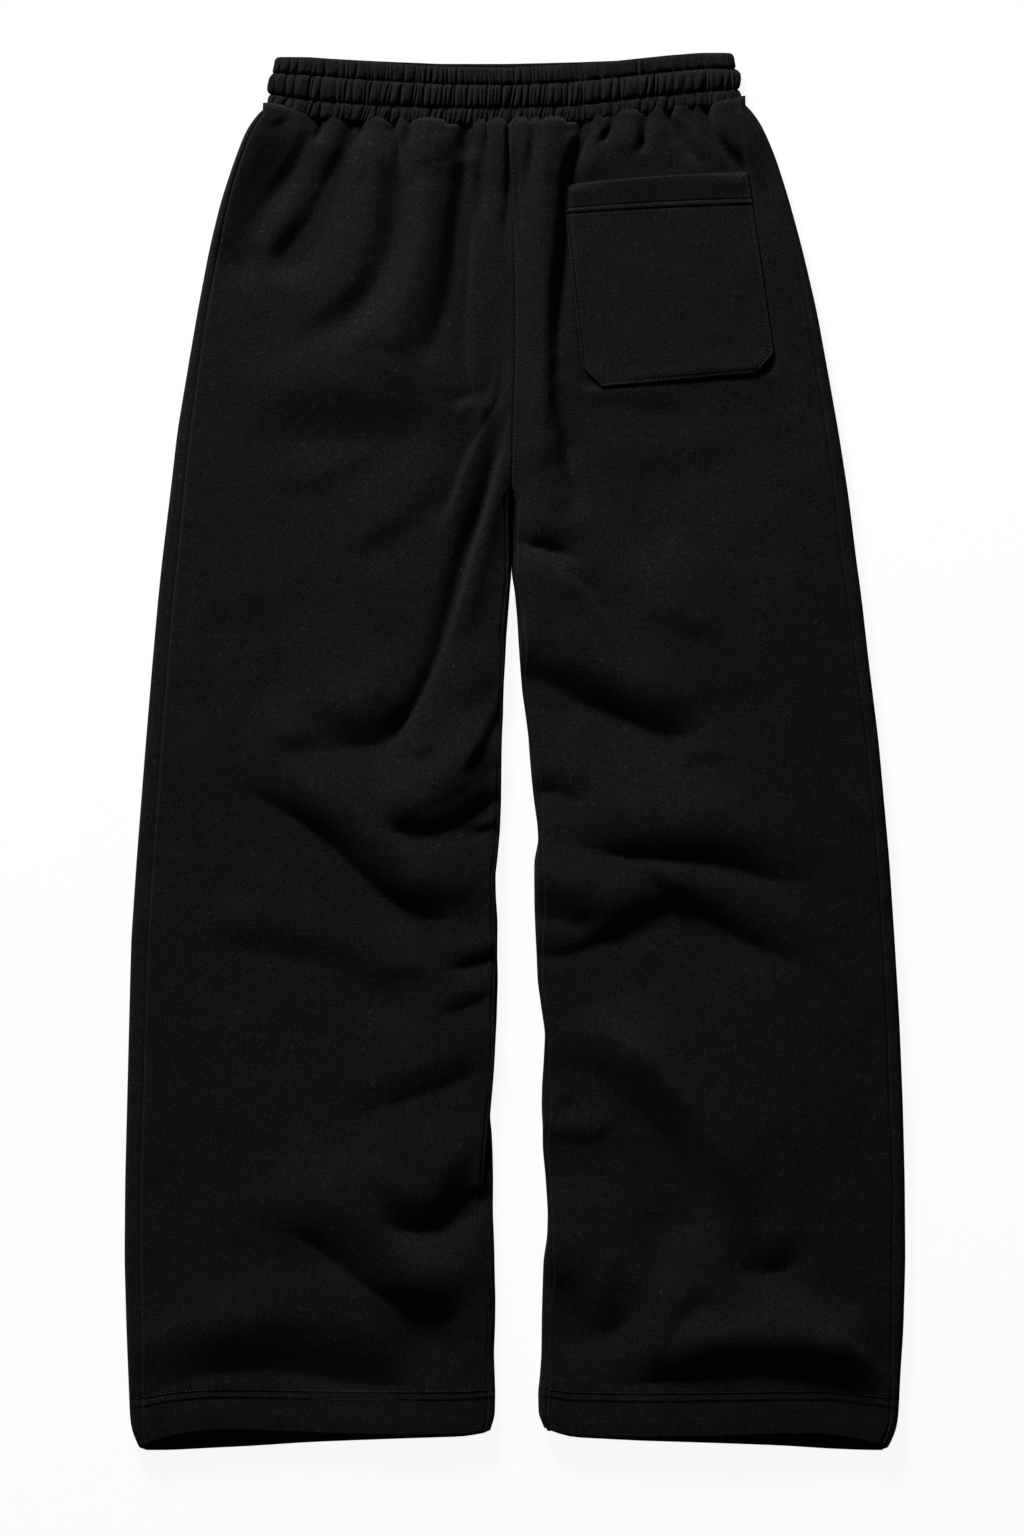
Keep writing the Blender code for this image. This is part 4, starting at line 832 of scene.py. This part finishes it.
def crease_depth(along, share, perimeter, channel):
    """How deep the gathers cut at a place round the band: 0 on a puff, about 1 in a crease."""
    places, depths, slants = gathers(perimeter, channel)
    slanted = (along - (share - 0.5) * np.interp(along, places, slants)) % perimeter
    index = np.clip(np.searchsorted(places, slanted) - 1, 0, len(places) - 2)
    before, after = slanted - places[index], places[index + 1] - slanted
    crease = (depths[index] * np.exp(-(before / CREASE_WIDTH) ** 1.5)
              + depths[index + 1] * np.exp(-(after / CREASE_WIDTH) ** 1.5))
    across = before / (before + after)
    return crease + 0.55 * (1.0 - 4.0 * across * (1.0 - across))


def band_section():
    """The section's places across the outside with their channels, and the places across the inside."""
    rows = [(-0.03, None, -1.4)]
    for channel in CHANNELS:
        for step in range(1 if channel.start else 0, CHANNEL_STEPS + 1):
            share = (1.0 - cos(pi * step / CHANNEL_STEPS)) / 2.0
            rows.append((channel.start + (channel.end - channel.start) * share, channel, share))
    return rows, np.array([1.0, 0.985, 0.93, 0.8, 0.6, 0.4, 0.2, 0.0, -0.03])


def waistband():
    """Points of the band in closed sections, one for each step round it, and those of its outside."""
    rows, inside = band_section()
    margin = BAND_TURN + max(channel.bulge for channel in CHANNELS) - 0.6
    width, turn_length = BAND_WIDTH - 2 * margin, pi * BAND_TURN_RADIUS
    perimeter = 2 * width + 2 * turn_length

    # Along the back, round a side, along the front and round the other side. Each stretch has its steps, its
    # length, and both ends of its share of the width and of its turn.
    stretches = ((BACK_STEPS, width, (0.0, 1.0), (0.0, 0.0)),
                 (TURN_STEPS, turn_length, (1.0, 1.0), (0.0, pi)),
                 (FRONT_STEPS, width, (1.0, 0.0), (pi, pi)),
                 (TURN_STEPS, turn_length, (0.0, 0.0), (pi, 2 * pi)))
    places, start = [], 0.0
    for steps, length, *ends in stretches:
        ends.append((start, start + length))
        places.append([first + (last - first) * (np.arange(steps) / steps) for first, last in ends])
        start += length
    share, turn, along = (column[:, None] for column in np.hstack(places))
    up, out = np.cos(turn), np.sin(turn)
    back = (1.0 + up) / 2.0

    height = np.zeros((len(along), len(rows)))
    for column, (_, channel, part) in enumerate(rows):
        if channel is None:
            height[:, column] = part
            continue
        crease = crease_depth(along[:, 0], part, perimeter, channel)
        slanted = along[:, 0] - channel.slant * part
        swell = (1.0 + 0.10 * unevenness(along[:, 0], 0.0, 23.0, channel.seed)
                 + 0.22 * unevenness(slanted, 3.0 * part, 2.6, channel.seed + 10))
        narrow = np.clip(np.abs(2.0 * part - 1.0) * (1.0 + 0.05 * np.minimum(crease, 1.5)), 0.0, 1.0)
        cut = 1.0 - CREASE_DEPTH * np.minimum(crease, 1.6)
        height[:, column] = channel.bulge * np.sqrt(1.0 - narrow ** 2.5) * swell * cut
    low_side = np.minimum(height * 0.45, BAND_UNDER)
    height = low_side + (height - low_side) * smooth(back * 1.6)

    def ring(across, offset, low, high, reach):
        left, right = (np.interp(across, *zip(*edges))[None, :] for edges in (BAND_LEFT, BAND_RIGHT))
        base_x = left + margin + (right - left - 2 * margin) * share
        front_top, back_top = (read(BAND_EDGES, field, base_x, BAND_EASE, "x") + more
                               for field, more in BAND_TOPS)
        lower = waist_seam(base_x, back)
        y = lower + (front_top + (back_top - front_top) * back - lower) * across[None, :]
        z = (low + high) / 2.0 + up * ((high - low) / 2.0 + offset)
        return np.stack([base_x + out * (reach + offset), y, z], axis=-1)

    outer = ring(np.array([row[0] for row in rows]), height, BAND_UNDER, BAND_LEVEL, BAND_TURN)
    soft = 0.35 * unevenness(along, inside[None, :] * 40.0, 4.2, 44) * (up < 0.0)
    inner = ring(inside, soft, BAND_FRONT, BAND_INSIDE, BAND_INSIDE_TURN)
    return np.concatenate([outer, inner], axis=1), outer


def closed_ring(name, points):
    """A ring of closed sections."""
    index = np.arange(points[..., 0].size).reshape(points.shape[:2])
    ahead = np.roll(index, -1, 0)
    faces = np.stack([index, ahead, np.roll(ahead, -1, 1), np.roll(index, -1, 1)], axis=-1)
    return add_mesh(name, points.reshape(-1, 3), faces.reshape(-1, 4).tolist())


# Pocket
POCKET_DEPTH = 151.0
POCKET_BAND = 21.8
POCKET_STITCHES = (17.6, 21.6)
POCKET_BOTTOM_STITCH = 2.4
POCKET_EDGE_STEPS = (0.0, 0.25, 0.6, 1.0, 1.5, 2.2, 3.0, 3.8, 5.0, 6.6, 8.4, 10.2)
POCKET_EDGE_STITCH = 6   # the column of the edge stitching, from either side
POCKET_TACK = 9          # the column of the short second row beside the mouth
POCKET_COLUMNS = 60
POCKET_SEAT = 0.5
POCKET_ALLOWANCE = 9.0
POCKET_ROUND = 1.5       # radius of its folded edges


def pocket():
    """Outer and inner points of the pocket, and the distance of its rows from the mouth."""
    rows = -steps_down((0.0, 0.5), (-3.0, 1.3), (-15.0, 0.55), (-25.0, 1.9), (-138.0, 1.0), (-147.0, 0.5),
                       (-POCKET_DEPTH, 0.0))
    places, *ends = np.transpose(POCKET_ROWS)
    left_x, left_y, right_x, right_y = (np.interp(rows, places, end)[:, None] for end in ends)
    width = right_x - left_x
    from_left = spread_columns(0.0 * width, width, POCKET_EDGE_STEPS, POCKET_COLUMNS)
    share = from_left / width
    down = rows[:, None] + 0.0 * share
    x = left_x + width * share
    y = left_y + (right_y - left_y) * share + 1.6 * np.sin(pi * share) * np.exp(-down / 30.0)
    base = top(RIGHT, x, y, y) + POCKET_SEAT
    side, bottom = np.minimum(from_left, width - from_left), POCKET_DEPTH - down
    rim = np.minimum(side, bottom)
    inside = smooth(np.minimum(rim, down + 20.0) / 40.0)
    body = CLOTH + 0.2 * smooth((POCKET_ALLOWANCE - rim) / 2.0) + 1.3 * inside
    body = body + 0.25 * smooth((POCKET_BAND - down) / 1.6)
    body = body + 0.35 * unevenness(x, y, 30.0, 51) + 0.15 * unevenness(x, y, 10.0, 52)

    def line(distance, half_width=0.7):
        return np.exp(-(distance / half_width) ** 2)

    stitched = sum(line(down - place) for place in POCKET_STITCHES)
    side_line = line(side - POCKET_EDGE_STEPS[POCKET_EDGE_STITCH])
    sewn_edge = np.maximum(side_line, line(bottom - POCKET_BOTTOM_STITCH))
    body = body - 0.6 * stitched + 0.2 * line(down - sum(POCKET_STITCHES) / 2, 1.3) - 0.45 * sewn_edge
    lip = 1.3 * np.sin(pi * share) ** 0.5 * np.exp(-down / 14.0)
    fall = np.minimum(np.minimum(rim, POCKET_ROUND), down * 0.75)
    drop = POCKET_ROUND - np.sqrt(np.maximum(POCKET_ROUND ** 2 - (POCKET_ROUND - fall) ** 2, 0.0))
    outer = np.stack([x, y, base + body + lip - drop], axis=-1)
    return outer, np.stack([x, y, base + 0.15 * inside + lip * 0.6], axis=-1), rows


# Sewing
STITCH_PITCH = 3.1
STITCH_HALF = 1.15
STITCH_RADIUS = 0.30
STITCH_LIFT = 0.05
STITCH_SIDES = 6
STITCH_RINGS = 4
FRONT_TURN = 3.0         # the fronts' cloth faces up above this height, and down below it
BAND_TURN_HEIGHT = 4.0   # and the band's
SEAT_STITCH = -5         # the column of the seat seam's stitches on the right back panel
SEAT_STITCH_ROWS = 260
SEAT_STITCH_END = 4.0    # how far above the fork they end


def stitch_form():
    """A stitch along X: a short capsule's points and faces."""
    points = [(-STITCH_HALF, 0.0, 0.0)]
    for ring in range(STITCH_RINGS):
        angle = pi * (ring + 0.6) / (STITCH_RINGS + 0.2)
        radius = STITCH_RADIUS * sin(angle) ** 0.6
        for turn in 2 * pi * np.arange(STITCH_SIDES) / STITCH_SIDES:
            points.append((-STITCH_HALF * cos(angle), radius * cos(turn), radius * sin(turn)))
    points.append((STITCH_HALF, 0.0, 0.0))
    faces = []
    last = 1 + (STITCH_RINGS - 1) * STITCH_SIDES
    for side in range(STITCH_SIDES):
        beside = (side + 1) % STITCH_SIDES
        faces.append([0, 1 + beside, 1 + side])
        for start in range(1, last, STITCH_SIDES):
            ahead = start + STITCH_SIDES
            faces.append([start + side, start + beside, ahead + beside, ahead + side])
        faces.append([last + side, last + beside, len(points) - 1])
    return np.array(points), faces


def unit(vector):
    """The vector with a length of 1."""
    return vector / max(np.linalg.norm(vector), 1e-6)


def stitches(name, paths, turned_at):
    """Stitches joined into one piece, along paths of points in millimetres on the cloth. The cloth faces up
    above the height turned_at, and down below it."""
    form, form_faces = stitch_form()
    points, faces = [], []
    for path in paths:
        along = np.concatenate([[0.0], np.cumsum(np.linalg.norm(np.diff(path, axis=0), axis=1))])
        for place in np.arange(STITCH_PITCH, along[-1] - STITCH_PITCH / 2, STITCH_PITCH):
            centre, before, after = (
                np.array([np.interp(place + shift, along, values) for values in path.T])
                for shift in (0.0, -STITCH_HALF, STITCH_HALF))
            forward = unit(after - before)
            away = (0.0, 0.0, 1.0 if centre[2] > turned_at else -1.0)
            sideways = unit(np.cross(away, forward))
            upward = np.cross(forward, sideways)
            start = len(points) * len(form)
            points.append(centre + upward * STITCH_LIFT + form @ (forward, sideways, upward))
            points[-1][:, 2] += max(-points[-1][:, 2].min(), 0.0)
            faces += [[start + corner for corner in face] for face in form_faces]
    return add_mesh(name, np.concatenate(points), faces)


# Materials
def new_node(tree, kind, inputs=(), **settings):
    """A shader node with its settings, and its inputs set or linked."""
    made = tree.nodes.new(kind)
    for key, value in settings.items():
        setattr(made, key, value)
    for key, value in inputs:
        socket = made.inputs[key]
        if isinstance(value, bpy.types.NodeSocket):
            tree.links.new(value, socket)
        else:
            socket.default_value = value
    return made


def mapped(tree, value, low, high, to_low, to_high, kind="LINEAR"):
    """A value from one range moved to another."""
    inputs = enumerate((value, low, high, to_low, to_high))
    return new_node(tree, "ShaderNodeMapRange", inputs, interpolation_type=kind).outputs[0]


def combined(tree, operation, first, *others):
    """Values added, multiplied and so on in turn."""
    for other in others:
        first = new_node(tree, "ShaderNodeMath", ((0, first), (1, other)), operation=operation).outputs[0]
    return first


def noise(tree, place, scale, detail, rough=0.6):
    """Cloudy noise between 0 and 1."""
    inputs = (("Vector", place), ("Scale", scale), ("Detail", detail), ("Roughness", rough))
    return new_node(tree, "ShaderNodeTexNoise", inputs).outputs[0]


def wave(tree, place, scale, distortion, *more):
    """Slanting ribs, as a twill or a twisted thread has."""
    inputs = (("Vector", place), ("Scale", scale), ("Distortion", distortion), *more)
    return new_node(tree, "ShaderNodeTexWave", inputs, wave_type="BANDS",
                    bands_direction="DIAGONAL").outputs[1]


def moved(tree, place, shift):
    """A place moved, so that the same noise looks another there."""
    return new_node(tree, "ShaderNodeVectorMath", ((0, place), (1, shift)), operation="ADD").outputs[0]


def fibres(tree, place, shift, scale, chosen, half_width):
    """Curved lint hairs: pieces of a noise's level lines."""
    start = moved(tree, place, shift)
    level = combined(tree, "SUBTRACT", noise(tree, start, scale, 0.4, 0.5), 0.5)
    away = new_node(tree, "ShaderNodeMath", ((0, level),), operation="ABSOLUTE").outputs[0]
    line = mapped(tree, away, 0.0, half_width * scale, 1.0, 0.0, "SMOOTHSTEP")
    part = noise(tree, moved(tree, start, (1.3, 2.1, 0.7)), scale * 1.5, 1.0)
    part = mapped(tree, part, chosen, chosen + 0.03, 0.0, 1.0, "SMOOTHSTEP")
    return combined(tree, "MULTIPLY", line, part)


# How bright the fleece's parts are
FLEECE_LEVEL = 0.0102
FIBRE_LEVEL = 0.009
HAIR_LEVEL = 0.020
SPECK_LEVEL = 0.055


def new_material(name, values):
    """A material with its shader's plain values, its tree and its shader."""
    material = bpy.data.materials.new(name)
    material.use_nodes = True
    shader = material.node_tree.nodes["Principled BSDF"]
    for key, value in values.items():
        shader.inputs[key].default_value = value
    return material, material.node_tree, shader


def finish_shader(tree, shader, channels, bump):
    """Links a colour from its three channels and a bump from its strength, distance and height."""
    colour = new_node(tree, "ShaderNodeCombineColor", enumerate(channels))
    tree.links.new(colour.outputs[0], shader.inputs["Base Color"])
    bump = new_node(tree, "ShaderNodeBump", zip(("Strength", "Distance", "Height"), bump))
    tree.links.new(bump.outputs[0], shader.inputs["Normal"])


def fleece(name, shift):
    """Black brushed fleece: a fine nap over twill, lint hairs and pale specks."""
    material, tree, shader = new_material(name, {"Roughness": 0.9, "Specular IOR Level": 0.18,
                                                 "Sheen Weight": 0.06, "Sheen Roughness": 0.55})
    place = moved(tree, new_node(tree, "ShaderNodeTexCoord").outputs["Object"], shift)
    nap = mapped(tree, noise(tree, place, 760.0, 3.0, 0.9), 0.37, 0.63, 0.0, 2.0)
    fine = mapped(tree, noise(tree, place, 2900.0, 1.0), 0.32, 0.68, 0.3, 1.7)
    clouds = mapped(tree, noise(tree, place, 26.0, 3.0), 0.3, 0.7, 0.90, 1.10)
    twill = wave(tree, place, 205.0, 2.2, ("Detail", 1.0), ("Detail Scale", 3.0))
    twill = mapped(tree, twill, 0.0, 1.0, 0.88, 1.12)
    cloth = combined(tree, "MULTIPLY", nap, fine, clouds, twill, FLEECE_LEVEL)
    hairs = combined(tree, "MAXIMUM", fibres(tree, place, (3.0, 1.0, 2.0), 150.0, 0.50, 0.00022),
                     fibres(tree, place, (7.0, 4.0, 5.0), 210.0, 0.53, 0.00020))
    long_hairs = fibres(tree, place, (5.0, 8.0, 3.0), 120.0, 0.62, 0.00026)
    cells = new_node(tree, "ShaderNodeTexVoronoi", (("Vector", place), ("Scale", 120.0)), feature="F1")
    dot = mapped(tree, cells.outputs[0], 0.02, 0.042, 1.0, 0.0, "SMOOTHSTEP")
    few = new_node(tree, "ShaderNodeSeparateColor", ((0, cells.outputs[1]),)).outputs[0]
    specks = combined(tree, "MULTIPLY", dot, mapped(tree, few, 0.80, 1.0, 0.0, 1.0), SPECK_LEVEL)
    total = combined(tree, "ADD", combined(tree, "MULTIPLY", hairs, FIBRE_LEVEL), specks,
                     combined(tree, "MULTIPLY", long_hairs, HAIR_LEVEL), cloth)
    height = combined(tree, "ADD", nap, combined(tree, "MULTIPLY", hairs, 2.0))
    blue = combined(tree, "MULTIPLY", total, 0.995)
    finish_shader(tree, shader, (total, total, blue), (0.5, 0.00022, height))
    return material


def thread():
    """Black polyester thread: a little paler and smoother than the fleece, with its twist."""
    material, tree, shader = new_material("thread", {"Roughness": 0.5})
    twist = wave(tree, new_node(tree, "ShaderNodeTexCoord").outputs["Object"], 420.0, 1.0)
    level = mapped(tree, twist, 0.0, 1.0, 0.012, 0.030)
    finish_shader(tree, shader, (level, level, level), (0.4, 0.0001, twist))
    return material


# The camera looks from straight above and takes in this much at the height of the cloth.
FRAME_HEIGHT = 1143.4752
VIEW_CENTRE = (-2.2, -11.5)
CLOTH_LEVEL = 10.0
CAMERA_DISTANCE = 6000.0
SENSOR = 36.0

KEY_POWER = 106.0
KEY_DISTANCE = 3.5
KEY_SIZE = 0.8
KEY_TURN = 19.0          # degrees from straight beyond the waist, towards the wearer's left
KEY_LIFT = 18.5
FILL = 0.03
WHITE = (1.0, 1.0, 1.0, 1.0)


def studio():
    """A white floor, a soft key light from beyond the waist, a faint surround and the camera above."""
    bpy.ops.mesh.primitive_plane_add(size=16.0, location=(0.0, 0.0, -0.0003))
    floor = bpy.context.object
    floor.name = "floor"
    floor.data.materials.append(new_material("floor_white", {
        "Base Color": (0.25, 0.25, 0.25, 1.0), "Roughness": 1.0, "Specular IOR Level": 0.0,
        "Emission Color": WHITE, "Emission Strength": 0.92})[0])
    floor.visible_diffuse = False
    floor.visible_glossy = False

    key = bpy.data.lights.new("key", "AREA")
    key.shape = "DISK"
    key.size = KEY_SIZE
    key.energy = KEY_POWER
    turn, lift = radians(KEY_TURN), radians(KEY_LIFT)
    away = Vector((-sin(turn) * cos(lift), cos(turn) * cos(lift), sin(lift)))
    lamp = placed("key", key)
    lamp.location = away * KEY_DISTANCE
    lamp.rotation_euler = away.to_track_quat("Z", "Y").to_euler()
    lamp.visible_camera = False

    world = bpy.data.worlds.new("surround")
    world.use_nodes = True
    tree = world.node_tree
    tree.nodes.clear()
    fill, seen = (
        new_node(tree, "ShaderNodeBackground", (("Color", WHITE), ("Strength", strength))).outputs[0]
        for strength in (FILL, 1.0))
    ray = new_node(tree, "ShaderNodeLightPath").outputs["Is Camera Ray"]
    mixed = new_node(tree, "ShaderNodeMixShader", ((0, ray), (1, fill), (2, seen)))
    new_node(tree, "ShaderNodeOutputWorld", ((0, mixed.outputs[0]),))
    bpy.context.scene.world = world
    bpy.context.scene.view_settings.view_transform = "Standard"

    lens = bpy.data.cameras.new("camera")
    lens.sensor_width = SENSOR
    lens.lens = SENSOR * (CAMERA_DISTANCE - CLOTH_LEVEL) / FRAME_HEIGHT
    lens.clip_end = 100.0
    camera = placed("camera", lens)
    camera.location = Vector((*VIEW_CENTRE, CAMERA_DISTANCE)) * MM
    bpy.context.scene.camera = camera


def declare(piece, material, node):
    """Gives a piece its cloth, joins it to the root, and hides the solid node that it stands for."""
    piece.data.materials.append(material)
    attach(piece, "root")
    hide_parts(node)


def sewn(name, paths, material, turned_at=0.0):
    """A piece of stitches with its thread."""
    piece = stitches(name, paths, turned_at)
    piece.data.materials.append(material)
    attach(piece, "root")
    return piece


def build():
    """All the pieces, each with its stitches."""
    cotton = thread()
    for leg in (LEFT, RIGHT):
        back_name, front_name = "back_" + leg.name, "front_" + leg.name
        outer, inner = back_panel(leg)
        back = wall_mesh(back_name, outer, inner)
        front_outer, front_inner, cells = front_panel(leg)
        front = wall_mesh(front_name, front_outer, front_inner, cells)
        hem_paths = [outer[CURL_STEPS + nearest(BACK_ROWS, stitch)] for stitch in HEM_STITCHES]
        front_paths = [front_outer[nearest(FRONT_ROWS, stitch)] for stitch in HEM_STITCHES]
        threads = [sewn("hem_stitches_" + leg.name, hem_paths, cotton)]
        front_threads = [sewn("front_hem_stitches_" + leg.name, front_paths, cotton,
                              FRONT_TURN)]
        if leg is RIGHT:
            seat = outer[CURL_STEPS:CURL_STEPS + SEAT_STITCH_ROWS, SEAT_STITCH]
            seat = seat[seat[:, 1] > FORK_ROW + SEAT_STITCH_END]
            threads.append(sewn("seat_stitches", [seat], cotton))
        declare(back, fleece("fleece_" + back_name, (leg.side * 0.9, 0.3, 0.0)),
                "back_panel_" + leg.name)
        declare(front, fleece("fleece_" + front_name, (leg.side * 1.7, 0.9, 0.0)),
                "front_panel_" + leg.name)

    points, outside = waistband()
    band = closed_ring("waistband_gathered", points)
    places = [row[0] for row in band_section()[0]]
    valleys = [outside[:, nearest(places, channel.end)] for channel in CHANNELS[:2]]
    band_threads = sewn("waistband_stitches", [np.vstack([valley, valley[:1]]) for valley in valleys],
                        cotton, BAND_TURN_HEIGHT)
    declare(band, fleece("fleece_waistband", (0.5, 2.3, 0.4)), "waistband")

    outer, inner, down_rows = pocket()
    patch = wall_mesh("patch_pocket", outer, inner)
    last = outer.shape[1] - 1
    low = nearest(down_rows, POCKET_DEPTH - POCKET_BOTTOM_STITCH)
    short = nearest(down_rows, POCKET_STITCHES[0])
    paths = [outer[nearest(down_rows, place), 1:last] for place in POCKET_STITCHES]
    paths += [outer[2:low, column] for column in (POCKET_EDGE_STITCH, last - POCKET_EDGE_STITCH)]
    paths.append(outer[low, POCKET_EDGE_STITCH:last - POCKET_EDGE_STITCH + 1])
    paths += [outer[2:short, column] for column in (POCKET_TACK, last - POCKET_TACK)]
    pocket_threads = sewn("pocket_stitches", paths, cotton)
    declare(patch, fleece("fleece_pocket", (1.3, 3.1, 0.7)), "back_pocket")


build()
studio()
